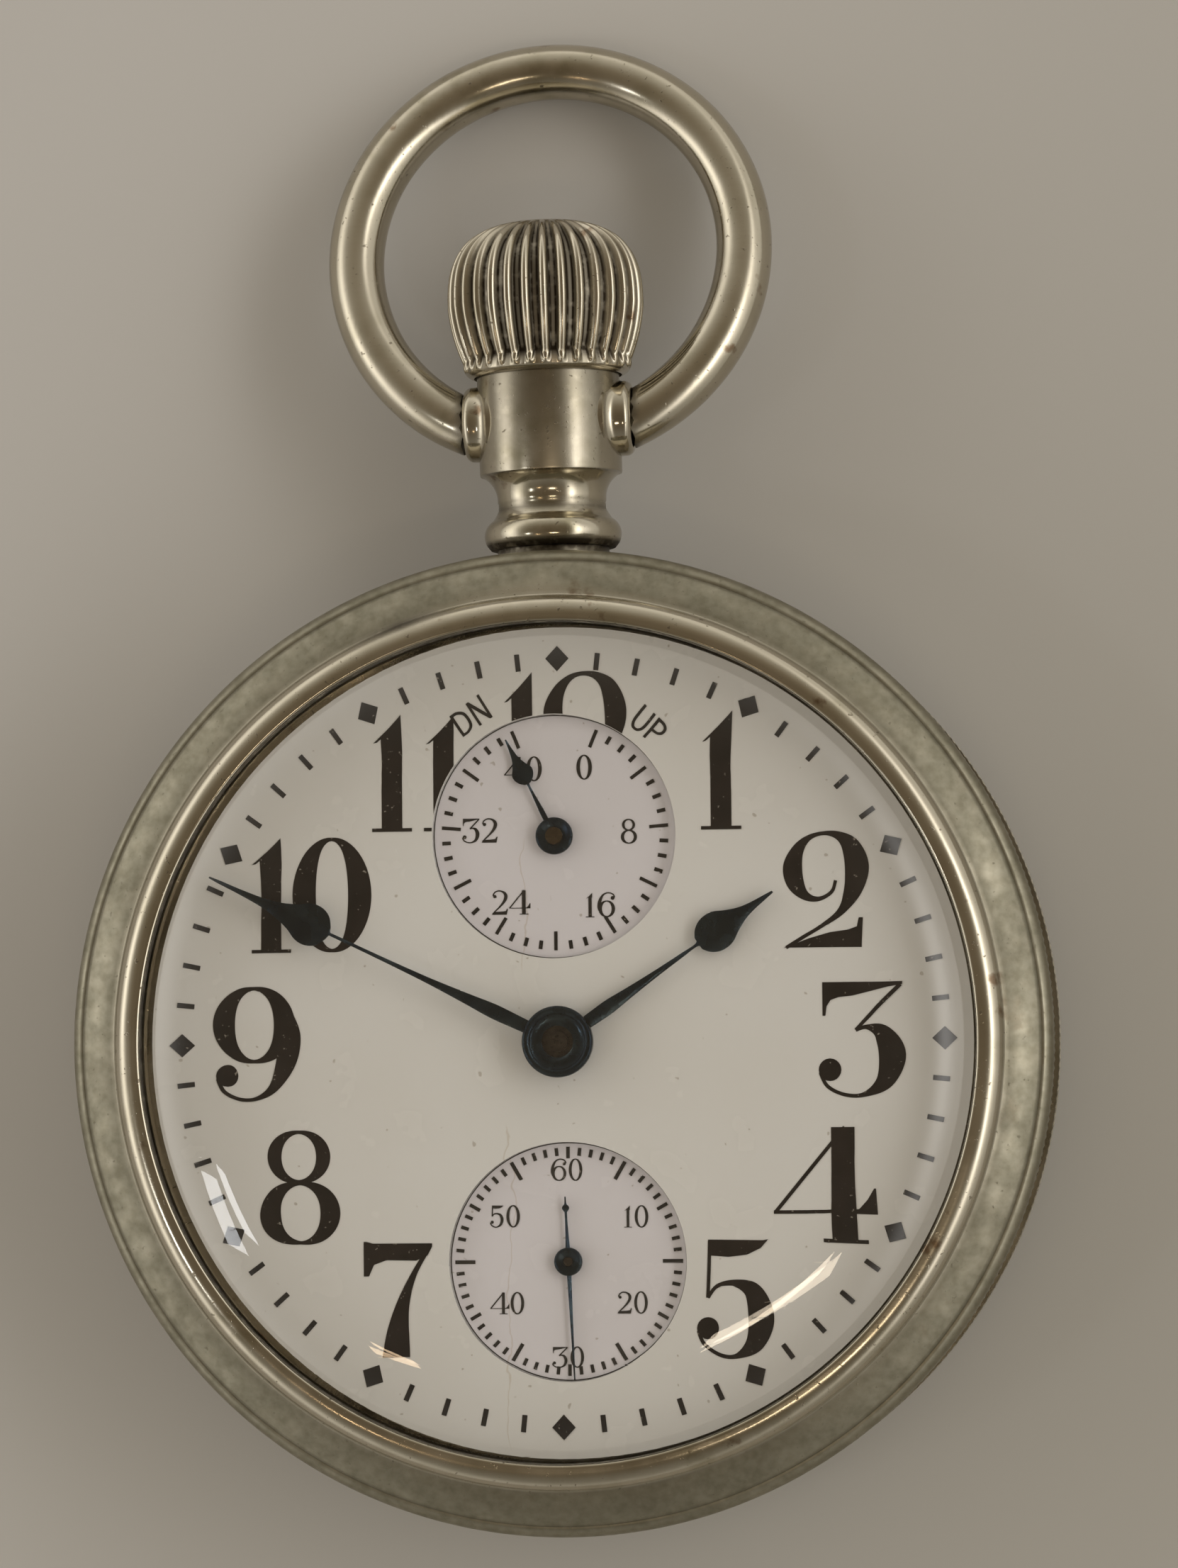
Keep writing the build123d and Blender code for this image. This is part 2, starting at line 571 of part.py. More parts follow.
def jewel_settings():
    rings = [ring(setting_r, jewel_r, bridge_low_z, bridge_low_z + setting_t, spot) for spot in setting_spots]
    rings.append(ring(centre_setting_r, centre_jewel_r, bridge_low_z, bridge_low_z + setting_t))
    rings.append(ring(setting_r, jewel_r, cock_low_z, cock_low_z + setting_t, balance_at))
    rings.append(ring(setting_r, jewel_r, plate_low_z, plate_low_z + setting_t, balance_at))
    return rings


def jewels():
    hole = pivot_r + jewel_gap
    stones = [ring(jewel_r, hole, bridge_low_z + 0.1, bridge_low_z + setting_t, spot) for spot in setting_spots]
    stones.append(ring(centre_jewel_r, centre_pivot_r + jewel_gap, bridge_low_z + 0.1, bridge_low_z + setting_t))
    stones.append(ring(jewel_r, hole, cock_low_z + 0.1, cock_low_z + setting_t, balance_at))
    stones.append(ring(jewel_r, hole, plate_low_z, plate_low_z + setting_t - 0.1, balance_at))
    return stones


# ---------------------------------------------------------------- winding work
def crown_wheel():
    toward = bearing(crown_wheel_at, barrel_at)
    body = gear(crown_wheel_teeth, winding_module, 4.65, 5.2, crown_wheel_at, toward)
    for k in range(face_teeth):
        body += bar(0.7, 0.34, 5.2, 5.46, polar(face_pitch_r - 0.4, 90 + 360 * k / face_teeth, crown_wheel_at),
                    90 + 360 * k / face_teeth)
    return body - disc(1.3 + run_gap, 0, 9, crown_wheel_at)


def ratchet_wheel():
    toward = bearing(barrel_at, crown_wheel_at)
    body = gear(ratchet_teeth, winding_module, 4.65, 5.2, barrel_at, toward, True)
    return body - Pos(*barrel_at, 4.9) * Box(1.5, 1.5, 2)


def ratchet_screw():
    return screw(1.9, 4.25, 4.65, 0.5, 5.9, barrel_at, 60)


arbor_r, arbor_end_r, core_r = 1.2, 0.85, 2.4


def barrel_arbor():
    core_low, core_high = drum_low_z + 0.55, cover_low_z - 0.05
    body = turned((0, 4.65), (0.75, 4.65), (0.75, 5.2), (arbor_r, 5.2), (arbor_r, core_low), (core_r, core_low),
                  (core_r, core_high), (arbor_end_r, core_high), (arbor_end_r, 10.9), (0, 10.9))
    body -= disc(1.3, 4, 5.2) - Pos(0, 0, 5) * Box(1.49, 1.49, 3)
    body -= disc(0.5, 4, 6)
    leaves = gear(arbor_leaves, idler_module, 10.57, 10.8, (0, 0), bearing(barrel_at, idler_at))
    return Pos(*barrel_at, 0) * (body + leaves)


drum_low_z, cover_low_z, cover_top_z = 6.6, 9.45, 9.85
drum_r = barrel_teeth * barrel_module / 2 - 0.4
drum_wall = 0.5


def mainspring_barrel():
    body = gear(barrel_teeth, barrel_module, drum_low_z, 7.3, barrel_at, bearing(barrel_at, centre_at))
    body += disc(drum_r, drum_low_z, cover_top_z, barrel_at)
    body -= disc(drum_r - drum_wall, drum_low_z + 0.5, cover_low_z, barrel_at)
    body -= disc(drum_r - 0.35, cover_low_z, 10, barrel_at)
    return body - disc(arbor_r + run_gap, 0, 20, barrel_at)


def barrel_cover():
    return ring(drum_r - 0.35, arbor_end_r + run_gap, cover_low_z, cover_top_z, barrel_at)


def mainspring():
    return spiral_strip(core_r + 0.35, drum_r - drum_wall - 0.2, 9, 0.2, drum_low_z + 0.6, cover_low_z - 0.1, barrel_at)


def click():
    toward = bearing(click_at, click_tip_at)
    reach = hypot(click_tip_at[0] - click_at[0], click_tip_at[1] - click_at[1])
    pawl = Circle(1.15) + Rot(0, 0, toward) * make_face(Polyline((0, -1.0), (reach - 0.3, -0.35), (reach - 0.05, 0.0),
                                                                  (reach - 0.4, 0.4), (0, 1.0), close=True))
    body = Pos(*click_at, 0) * plate(pawl, 4.62, 5.15)
    return body - disc(0.5 + run_gap, 0, 9, click_at)


def click_spring():
    face = (Circle(2.15) - Circle(1.85)) - half(bearing(click_at, click_tip_at) - 10, 0.2)
    return Pos(*click_at, 0) * plate(face, 4.7, wheel_recess_z)


def idler_wheel():
    wheel = gear(idler_teeth, idler_module, 10.57, 10.8, idler_at, bearing(idler_at, barrel_at), True)
    leaves = gear(idler_leaves, indicator_module, 10.8, 11.1, idler_at, bearing(idler_at, indicator_at))
    return wheel + leaves + disc(0.3, 10.15, 10.6, idler_at)


def indicator_wheel():
    wheel = gear(indicator_teeth, indicator_module, 10.86, 11.1, indicator_at, bearing(indicator_at, idler_at), True)
    wheel = crossed(wheel, 2.7, 1.0, 0.6, 4, 10.86, 11.1, indicator_at)
    return wheel + disc(0.5, 10.55, 12.35, indicator_at) + disc(0.3, 10.15, 10.6, indicator_at)


# ---------------------------------------------------------------- going train
def center_wheel():
    wheel = gear(centre_teeth, centre_module, 6.05, 6.35, centre_at, bearing(centre_at, third_at))
    wheel = crossed(wheel, 6.0, 1.8, 0.8, 5, 6.05, 6.35, centre_at, 30)
    return wheel - disc(0.7, 0, 9)


def center_pinion():
    body = disc(0.7, 5.95, 9.25) + disc(centre_pivot_r, 4.6, 5.95) + disc(0.6, 9.25, 13.75)
    return body + gear(centre_leaves, barrel_module, 6.5, 7.4, centre_at, bearing(centre_at, barrel_at), True)


def third_wheel():
    wheel = gear(third_teeth, third_module, 8.3, 8.6, third_at, bearing(third_at, fourth_at))
    return crossed(wheel, 5.0, 1.4, 0.7, 5, 8.3, 8.6, third_at, 12) - disc(0.35, 0, 20, third_at)


def third_pinion():
    leaves = gear(third_leaves, centre_module, 5.98, 6.5, third_at, bearing(third_at, centre_at), True)
    return arbor(0.35, third_at) + leaves


def fourth_wheel():
    wheel = gear(fourth_teeth, fourth_module, 7.1, 7.4, fourth_at, bearing(fourth_at, escape_at))
    return crossed(wheel, 4.6, 1.3, 0.6, 5, 7.1, 7.4, fourth_at, 40) - disc(0.35, 0, 20, fourth_at)


def fourth_pinion():
    leaves = gear(fourth_leaves, third_module, 8.15, 8.75, fourth_at, bearing(fourth_at, third_at), True)
    return arbor(0.35, fourth_at) + leaves + disc(0.25, 9.25, 12.2, fourth_at)


def escape_wheel():
    corners = []
    for tooth in range(escape_teeth):
        middle = 360 * tooth / escape_teeth
        corners += [polar(3.1, middle - 7), polar(escape_r, middle + 2), polar(escape_r - 0.1, middle + 5), polar(3.1, middle + 1)]
    wheel = Pos(*escape_at, 0) * plate(make_face(Polyline(*corners, close=True)), 8.25, 8.5)
    return crossed(wheel, 2.7, 0.9, 0.5, 4, 8.25, 8.5, escape_at, 20) - disc(0.35, 0, 20, escape_at)


def escape_pinion():
    leaves = gear(escape_leaves, fourth_module, 6.95, 7.55, escape_at, bearing(escape_at, fourth_at), True)
    return arbor(0.35, escape_at) + leaves


stone_r = escape_r + 0.14     # the stones stand just clear of the tooth tips


def pallet_fork():
    stone = (stone_r * cos(radians(30)) - escape_r / cos(radians(30)), stone_r * sin(radians(30)))
    lever = Polyline((0, -0.45), (4.3, -0.3), (4.45, -0.75), (4.95, -0.75), (4.95, -0.3), (4.55, -0.3), (4.55, 0.3),
                     (4.95, 0.3), (4.95, 0.75), (4.45, 0.75), (4.3, 0.3), (0, 0.45), close=True)
    face = make_face(lever) + Circle(0.8)
    for side in (-1, 1):
        arm = Polyline((-0.5, side * 0.4), (stone[0] + 0.25, side * (stone[1] + 0.9)),
                       (stone[0] + 0.95, side * (stone[1] + 0.75)), (0.45, side * 0.4), close=True)
        face += make_face(arm)
    face -= Circle(0.3)
    body = Pos(*pallet_at, 0) * Rot(0, 0, lever_angle) * plate(face, 8.2, 8.5)
    for stone in pallet_stones():
        body -= stone
    staff = disc(0.3, 8.1, 9.25, pallet_at) + disc(pivot_r, 7.7, 8.1, pallet_at) + disc(pivot_r, 9.25, 10.2, pallet_at)
    return body + staff


def pallet_stones():
    stones = []
    for side in (-1, 1):
        start = polar(stone_r, lever_angle + side * 30, escape_at)
        stones.append(bar(1.3, 0.5, 8.22, 8.48, start, lever_angle + side * 62))
    return stones


def balance_wheel():
    rim = ring(7.9, 7.1, 6.8, 7.5, balance_at)
    arm = bar(14.4, 0.9, 7.0, 7.4, polar(7.2, lever_angle + 30 + 180, balance_at), lever_angle + 30)
    body = rim + arm + disc(1.1, 6.9, 7.5, balance_at) - disc(0.5, 0, 20, balance_at)
    for k in (0, 180):
        body -= bar(2, 0.25, 6, 8, polar(6.6, lever_angle + 42 + k, balance_at), lever_angle + 42 + k)
    return body


balance_screw_angles = [13 + 24 * k for k in range(15) if k not in (7,)]


def balance_screws():
    weights = []
    for angle in balance_screw_angles:
        head = Pos(7.92, 0, 7.15) * Rot(0, 90, 0) * Cylinder(0.33, 0.75, align=LOW)
        weights.append(Pos(*balance_at, 0) * Rot(0, 0, lever_angle + angle) * head)
    return weights


def balance_staff():
    body = disc(0.5, 6.4, 9.2, balance_at) + disc(0.3, 5.75, 6.4, balance_at) + disc(0.8, 6.1, 6.38, balance_at)
    body += disc(pivot_r, 4.7, 5.75, balance_at) + disc(pivot_r, 9.2, 9.8, balance_at)
    body += disc(1.75, 7.7, 7.95, balance_at)
    return body + disc(0.15, 7.95, 8.5, polar(1.3, lever_angle + 180, balance_at))


stud_at = polar(2.35, bearing(balance_at, cock_foot_at) + 40, balance_at)


def hairspring():
    return spiral_strip(0.87, 2.35, 7, 0.05, 6.12, 6.36, balance_at, bearing(balance_at, stud_at))


def hairspring_stud():
    return disc(0.45, cock_low_z - 0.1, 6.1, stud_at)


def regulator():
    away = bearing(cock_foot_at, balance_at)
    body = ring(2.1, 1.3, 3.95, 4.35, balance_at)
    body += bar(6.4, 0.5, 3.95, 4.35, polar(1.9, away + 180, balance_at), away + 180)
    body += bar(1.7, 0.9, 3.95, 4.35, polar(1.9, away, balance_at), away)
    for offset in (-0.22, 0.22):
        pin = polar(3.2, away + degrees(offset / 3.2), balance_at)
        body += disc(0.1, 4.3, 6.05, pin)
    return body


# ---------------------------------------------------------------- motion work, dial and hands
def cannon_pinion():
    body = gear(cannon_teeth, cannon_module, 10.75, 11.12, centre_at, bearing(centre_at, minute_at))
    return body + disc(0.95, 11.12, 13.5) - disc(0.6, 0, 20)


def minute_wheel():
    body = gear(minute_teeth, cannon_module, 10.75, 11.0, minute_at, bearing(minute_at, centre_at), True)
    body += gear(minute_leaves, hour_module, 11.0, 11.6, minute_at, bearing(minute_at, centre_at), True)
    return body - disc(minute_post_r + run_gap, 0, 20, minute_at)


def hour_wheel():
    body = gear(hour_teeth, hour_module, 11.25, 11.52, centre_at, bearing(centre_at, minute_at))
    return body + disc(1.4, 11.52, 12.85) - disc(0.95 + run_gap, 0, 20)


def dial():
    body = disc(dial_r, dial_low_z, dial_top_z) - disc(1.7, 0, 20)
    body -= disc(seconds_r, 0, 20, fourth_at) + disc(indicator_r, 0, 20, indicator_at)
    for foot in dial_foot_angles:
        body += disc(0.4, 9.52, dial_low_z, polar(dial_foot_r, foot))
    return body


def seconds_dial():
    return ring(seconds_r + subdial_lip, 0.6, dial_low_z - subdial_t, dial_low_z, fourth_at)


def indicator_dial():
    return ring(indicator_r + subdial_lip, 0.8, dial_low_z - subdial_t, dial_low_z, indicator_at)


def dial_screws():
    pin = Pos(dial_foot_r + 0.42, 0, 9.85) * Rot(0, 90, 0) * Cylinder(0.38, 1.45, align=LOW)
    return [Rot(0, 0, foot) * pin for foot in dial_foot_angles]


def setting_lever():
    lever = bar(8.0, 1.6, plate_top_z + 0.02, plate_top_z + 0.42, (15.4, 0))
    lever += disc(1.1, plate_top_z + 0.02, plate_top_z + 0.42, (16.2, 0))
    return Rot(0, 0, lever_slot_angle) * (lever - disc(0.35, 0, 20, (22.9, 0)))


def hand(length, spade_at, spade_r, hub_r, root_w, neck_w, low, high, at, clock_angle):
    """Spade hand: a stem that narrows, a round spade with a drawn-out point, and a hub."""
    shoulder = 1.9 * spade_r
    stem = Polyline((0, -root_w / 2), (spade_at, -neck_w / 2), (spade_at, neck_w / 2), (0, root_w / 2), close=True)
    point = Polyline((spade_at, -spade_r), (spade_at + 0.75 * spade_r, -0.75 * spade_r),
                     (spade_at + shoulder, -0.22 * spade_r), (length, -0.05), (length, 0.05),
                     (spade_at + shoulder, 0.22 * spade_r), (spade_at + 0.75 * spade_r, 0.75 * spade_r),
                     (spade_at, spade_r), close=True)
    face = make_face(stem) + Pos(spade_at, 0) * Circle(spade_r) + make_face(point) + Circle(hub_r)
    return Pos(*at, 0) * Rot(0, 0, 90 - clock_angle) * plate(face, low, high)


hour_hand_z, minute_hand_z, small_hand_z = 12.85, 13.4, 11.95


def hour_hand():
    body = hand(15.1, 11.0, 1.13, 1.95, 1.0, 0.35, hour_hand_z, hour_hand_z + hand_t, centre_at, hour_angle)
    return body - disc(0.95 + run_gap, 0, 20)


def minute_hand():
    body = hand(22.3, 15.9, 1.23, 2.07, 1.0, 0.3, minute_hand_z + 0.1, minute_hand_z + 0.1 + hand_t, centre_at,
                minute_angle)
    boss = turned((0, 13.5), (2.07, 13.5), (2.07, 13.9), ((1.9, 14.1), (1.6, 14.15)), (0, 14.15))
    return body + boss - disc(0.6, 0, 13.75)


def seconds_hand():
    needle = make_face(Polyline((-3.8, -0.04), (0, -0.16), (6.9, -0.05), (6.9, 0.05), (0, 0.16), (-3.8, 0.04), close=True))
    needle += Pos(-3.0, 0) * make_face(Polyline((-0.45, 0), (0, 0.22), (0.35, 0), (0, -0.22), close=True))
    face = needle + Circle(0.83)
    body = Pos(*fourth_at, 0) * Rot(0, 0, 90 - seconds_angle) * plate(face, small_hand_z, small_hand_z + 0.15)
    return body + disc(0.83, small_hand_z, small_hand_z + 0.35, fourth_at) - disc(0.25, 0, 12.2, fourth_at)


def indicator_hand():
    body = hand(6.1, 4.1, 0.56, 1.1, 0.32, 0.22, small_hand_z, small_hand_z + 0.15, indicator_at, indicator_angle)
    return body + disc(1.1, small_hand_z, small_hand_z + 0.4, indicator_at) - disc(0.5, 0, 12.35, indicator_at)


# ---------------------------------------------------------------- write every node
for maker in (case_band, pendant, pendant_sleeve, bow, crown, winding_stem, winding_pinion, back_cover, bezel, crystal,
              pillar_plate, train_plate, barrel_bridge, balance_cock, pallet_bridge, pillars, plate_screws,
              cock_screws, case_screws, jewel_settings, jewels, crown_wheel, ratchet_wheel, ratchet_screw,
              barrel_arbor, mainspring_barrel, barrel_cover, mainspring, click, click_spring, idler_wheel,
              indicator_wheel, center_wheel, center_pinion, third_wheel, third_pinion, fourth_wheel, fourth_pinion,
              escape_wheel, escape_pinion, pallet_fork, pallet_stones, balance_wheel, balance_screws, balance_staff,
              hairspring, hairspring_stud, regulator, cannon_pinion, minute_wheel, hour_wheel, dial, seconds_dial,
              indicator_dial, dial_screws, setting_lever, hour_hand, minute_hand, seconds_hand, indicator_hand):
    save(maker.__name__, maker())
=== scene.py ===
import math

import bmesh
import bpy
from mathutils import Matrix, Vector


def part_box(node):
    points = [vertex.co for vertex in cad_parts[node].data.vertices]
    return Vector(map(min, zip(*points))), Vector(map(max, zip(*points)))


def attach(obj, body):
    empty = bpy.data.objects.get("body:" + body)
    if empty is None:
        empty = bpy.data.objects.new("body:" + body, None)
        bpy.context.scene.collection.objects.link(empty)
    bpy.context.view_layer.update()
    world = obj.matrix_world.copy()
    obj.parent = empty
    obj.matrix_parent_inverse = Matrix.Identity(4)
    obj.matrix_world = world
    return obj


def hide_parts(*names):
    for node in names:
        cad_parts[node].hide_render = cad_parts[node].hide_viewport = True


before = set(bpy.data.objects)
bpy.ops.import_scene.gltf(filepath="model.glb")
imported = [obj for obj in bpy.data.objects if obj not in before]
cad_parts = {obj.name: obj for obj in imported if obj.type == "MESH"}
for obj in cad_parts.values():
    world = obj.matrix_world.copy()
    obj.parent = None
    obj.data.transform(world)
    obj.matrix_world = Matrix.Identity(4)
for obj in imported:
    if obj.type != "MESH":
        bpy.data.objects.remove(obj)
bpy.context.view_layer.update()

# %% [markdown]
# # An open face pocket watch
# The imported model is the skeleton: every wheel, plate and shell has its place there, and
# nothing of it is moved. This lesson dresses it. Pieces that are seen from outside (bezel,
# glass, back cover, pendant, crown, bow, dial print, hands) are modelled again with more
# detail and stand for the plain solids; the works keep their solids and get their metals.
#
# The numbers below are millimetres, and `MM` turns them into Blender's metres.

MM = 0.001
CASE_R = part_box("bezel")[1].x / MM
SEAM_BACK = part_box("back_cover")[1].z / MM
GLASS_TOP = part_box("crystal")[1].z / MM
DIAL_TOP = 12.4
STEM_Z = 8.0
print(f"case radius {CASE_R:.2f} mm, glass top at {GLASS_TOP:.2f} mm")

# %% [markdown]
# ## The viewpoint
# A watch like this is laid on a table and looked at from above, a little from the side of
# the four, so the case shows its left flank. `to_track_quat` would turn the picture when it
# looks straight down, so the camera's three axes are worked out by hand.

# %% Camera
eye = Vector((42.1, -3.9, 366.8)) * MM
aim = Vector((1.68, 15.06, 8.5)) * MM
roll = math.radians(1.92)
seen_height = 91.8 * MM
backward = (eye - aim).normalized()
across = Vector((math.sin(roll), math.cos(roll), 0)).cross(backward).normalized()
upward = backward.cross(across)

lens = bpy.data.cameras.new("view")
lens.sensor_fit = "VERTICAL"
lens.sensor_height = 24
lens.lens = lens.sensor_height * (eye - aim).length / seen_height
lens.clip_start, lens.clip_end = 0.01, 10
camera = bpy.data.objects.new("view", lens)
turned_axes = Matrix((across, upward, backward)).transposed().to_4x4()
camera.matrix_world = Matrix.Translation(eye) @ turned_axes
bpy.context.scene.collection.objects.link(camera)
bpy.context.scene.camera = camera
print(f"lens {lens.lens:.1f} mm at {(eye - aim).length / MM:.0f} mm")

# %% [markdown]
# ## Building with nodes
# The room's light and every finish are trees of nodes, so a few helpers come first. `add`
# makes a node and feeds its inputs, each with a plain value or with another node's output.
# The rest are the steps that come back in every finish: noise of a known size, a value
# stretched between two limits, a mix of two colours, and bump laid on bump.

# %% Node helpers
def finish(name, **values):
    """A new material and its Principled shader, with plain values set on the shader."""
    material = bpy.data.materials.new(name)
    material.use_nodes = True
    shader = material.node_tree.nodes["Principled BSDF"]
    for socket, value in values.items():
        shader.inputs[socket.replace("_", " ")].default_value = value
    return material, shader


def add(owner, kind, inputs=None, **settings):
    """A node in the tree of a material or of the room."""
    node = owner.node_tree.nodes.new("ShaderNode" + kind)
    for key, value in settings.items():
        setattr(node, key, value)
    for key, value in (inputs or {}).items():
        if isinstance(value, bpy.types.NodeSocket):
            owner.node_tree.links.new(value, node.inputs[key])
        else:
            node.inputs[key].default_value = value
    return node


def link(owner, output, target):
    owner.node_tree.links.new(output, target)


def grain(material, size_mm, stretch=(1, 1, 1), detail=3.0, turn=(0, 0, 0)):
    """Noise whose clouds are about size_mm across, longer along an axis with a small stretch."""
    place = add(material, "TexCoord").outputs["Object"]
    scale = [1 / (size_mm * MM) * s for s in stretch]
    mapping = add(material, "Mapping", {"Vector": place, "Scale": scale, "Rotation": turn})
    noise = add(material, "TexNoise", {"Vector": mapping.outputs[0], "Scale": 1.0, "Detail": detail})
    return noise.outputs["Fac"]


def band(owner, value, low, high, to_low=0.0, to_high=1.0):
    """Stretches value from low..high to to_low..to_high, clamped."""
    limits = {"Value": value, "From Min": low, "From Max": high, "To Min": to_low, "To Max": to_high}
    return add(owner, "MapRange", limits).outputs["Result"]


def mixed(owner, share, first, second, blend="MIX"):
    """Two colours mixed; each is (red, green, blue) or another node's output."""
    first, second = (c if isinstance(c, bpy.types.NodeSocket) else (*c, 1) for c in (first, second))
    return add(owner, "Mix", {0: share, 6: first, 7: second}, data_type="RGBA", blend_type=blend).outputs[2]


def sums(owner, operation, first, second):
    return add(owner, "Math", {0: first, 1: second}, operation=operation).outputs[0]


def bumped(material, shader, *layers):
    """Each layer is (height, strength, depth in mm); later ones lie on top."""
    below = None
    for height, strength, depth in layers:
        node = add(material, "Bump", {"Height": height, "Strength": strength, "Distance": depth * MM})
        if below:
            link(material, below, node.inputs["Normal"])
        below = node.outputs["Normal"]
    link(material, below, shader.inputs["Normal"])


def surfaced(material, colour, haze):
    """Gives the shader its colour and its roughness."""
    shader = material.node_tree.nodes["Principled BSDF"]
    link(material, colour, shader.inputs["Base Color"])
    link(material, haze, shader.inputs["Roughness"])


def under(material, socket):
    """What the shader's socket has been given so far, to lay something over it."""
    return material.node_tree.nodes["Principled BSDF"].inputs[socket].links[0].from_socket

# %% [markdown]
# ## Table and light
# A pale matt table-top in a room, whose colour is painted paler towards one side as a painted
# fall-off of light. Metal shows what is round it, so the room matters as much as the lamps:
# overhead it is dim and brown, where the viewer stands, and a window on each side draws one
# bright line along every rounded part.

# %% Table
bpy.ops.object.select_all(action="DESELECT")
bpy.ops.mesh.primitive_plane_add(size=3.0, location=(0, 0, -0.02 * MM))
table = bpy.context.object
table.name = "table_top"
bpy.ops.object.transform_apply(location=True, rotation=True, scale=True)

paint, shader = finish("matt_table", Roughness=0.85, Specular_IOR_Level=0.2)
place = add(paint, "TexCoord").outputs["Object"]
slanted = add(paint, "Mapping", {"Vector": place, "Rotation": (0, 0, math.radians(35))}).outputs[0]
along = add(paint, "SeparateXYZ", {"Vector": slanted}).outputs["X"]
# The colour runs from a lighter to a darker tone across the table: a painted fall-off of light.
PAINTED_LIT_SIDE, PAINTED_FAR_SIDE = (0.520, 0.507, 0.490), (0.405, 0.390, 0.355)
painted_light_falloff = mixed(paint, band(paint, along, -60 * MM, 60 * MM), PAINTED_LIT_SIDE, PAINTED_FAR_SIDE)
link(paint, painted_light_falloff, shader.inputs["Base Color"])
table.data.materials.append(paint)

# %% [markdown]
# The room is a world colour that depends on direction. The side behind the crown is lighter
# than the side of the six, and the ceiling is dark. The windows are bright ovals that fade
# out: a wide one low on the left, a narrow bright one high on the right with a dimmer one
# under it. Matt surfaces are lit a third more than polished ones show, which stands for the
# lamps of the room that no part of the metal mirrors.

# %% Room
scene = bpy.context.scene
scene.view_settings.view_transform = "Standard"
room = bpy.data.worlds.new("room")
room.use_nodes = True
scene.world = room
where = add(room, "TexCoord").outputs["Generated"]
parts = add(room, "SeparateXYZ", {0: where})


def tones(axis, *stops):
    """Colours that change along one axis of the direction; a stop is (place 0 to 1, colour)."""
    spread = add(room, "MapRange", {"Value": parts.outputs[axis], "From Min": -1.0})
    ramp = add(room, "ValToRGB", {"Fac": spread.outputs["Result"]})
    for place, _ in stops[1:-1]:
        ramp.color_ramp.elements.new(place)
    for element, (place, tone) in zip(ramp.color_ramp.elements, stops):
        element.position, element.color = place, (*tone, 1)
    return ramp.outputs["Color"]


def facing(direction):
    return add(room, "VectorMath", {0: where, 1: direction}, operation="DOT_PRODUCT").outputs["Value"]


WARM_WHITE = (1.0, 0.975, 0.94)


def soft_window(azimuth, elevation, wide, high, radiance):
    """A bright oval of the room, in degrees; wide and high are where it has faded to a third."""
    turn, rise = math.radians(azimuth), math.radians(elevation)
    ahead = Vector((math.cos(turn) * math.cos(rise), math.sin(turn) * math.cos(rise), math.sin(rise)))
    side = Vector((-math.sin(turn), math.cos(turn), 0))
    share = 0.0
    for axis, size in ((side, wide), (ahead.cross(side), high)):
        off = sums(room, "DIVIDE", facing(axis), math.sin(math.radians(size)))
        share = sums(room, "ADD", sums(room, "MULTIPLY", off, off), share)
    glow = sums(room, "POWER", math.exp(-1), share)
    glow = sums(room, "MULTIPLY", glow, sums(room, "GREATER_THAN", facing(ahead), 0.0))
    grey = add(room, "CombineXYZ", {0: glow, 1: glow, 2: glow}).outputs[0]
    colour = Vector(WARM_WHITE) * radiance
    return add(room, "VectorMath", {0: colour, 1: grey}, operation="MULTIPLY").outputs[0]


heights = tones("Z", (0.0, (0.9, 0.87, 0.80)), (0.55, (0.92, 0.89, 0.82)), (0.78, (0.60, 0.565, 0.50)),
                (0.93, (0.33, 0.28, 0.21)), (1.0, (0.25, 0.20, 0.14)))
depths = tones("Y", (0.0, (0.34, 0.325, 0.30)), (0.5, (0.70, 0.69, 0.67)), (1.0, (0.96, 0.95, 0.93)))
air = mixed(room, 1.0, heights, depths, blend="MULTIPLY")
for window in ((178, 20, 42, 12, 1.6), (2, 41, 32, 7, 3.2), (2, 30, 26, 14, 0.9)):
    air = mixed(room, 1.0, air, soft_window(*window), blend="ADD")
sky = room.node_tree.nodes["Background"]
link(room, air, sky.inputs["Color"])
MIRRORED, EXTRA_FOR_MATT = 0.97, 0.34
matt = add(room, "LightPath").outputs["Is Diffuse Ray"]
strength = add(room, "Math", {0: matt, 1: EXTRA_FOR_MATT, 2: MIRRORED}, operation="MULTIPLY_ADD")
link(room, strength.outputs[0], sky.inputs["Strength"])
print("room ready with", len(room.node_tree.nodes), "nodes")

# %% [markdown]
# Three small lamps are there for their mirror images in the rolled edge of the crystal: a
# window pane near the eight, a warm bulb near the five and a smaller one near the seven.

# %% Lamps
def lamp(name, place, size, radiance, tint):
    """A flat lamp facing the watch; radiance is how bright its face looks."""
    light = bpy.data.lights.new(name, "AREA")
    light.shape = "RECTANGLE"
    light.size, light.size_y = size
    light.energy = radiance * math.pi * size[0] * size[1]
    light.color = tint
    stand = bpy.data.objects.new(name, light)
    backward = (Vector(place) - Vector((0, 10, 10)) * MM).normalized()
    side = Vector((0, 1, 0)).cross(backward).normalized()
    up = backward.cross(side)
    stand.matrix_world = Matrix.Translation(place) @ Matrix((side, up, backward)).transposed().to_4x4()
    scene.collection.objects.link(stand)


lamp("window", (-0.367, -0.133, 0.49), (0.045, 0.075), 9.0, (0.97, 0.98, 1.0))
lamp("bulb", (0.09, -0.20, 0.67), (0.15, 0.03), 10.0, (1.0, 0.84, 0.64))
lamp("low_bulb", (-0.224, -0.251, 0.619), (0.05, 0.014), 12.0, (1.0, 0.72, 0.45))

# %% [markdown]
# ## Workshop helpers
# Most of a watch case is lathe work. On the bench a shape is turned from a drawn profile; in
# Blender the profile is an open line of points, and the Spin operator turns it. An entry of
# the profile is a corner, or a pair (point on the way, end) for an arc.

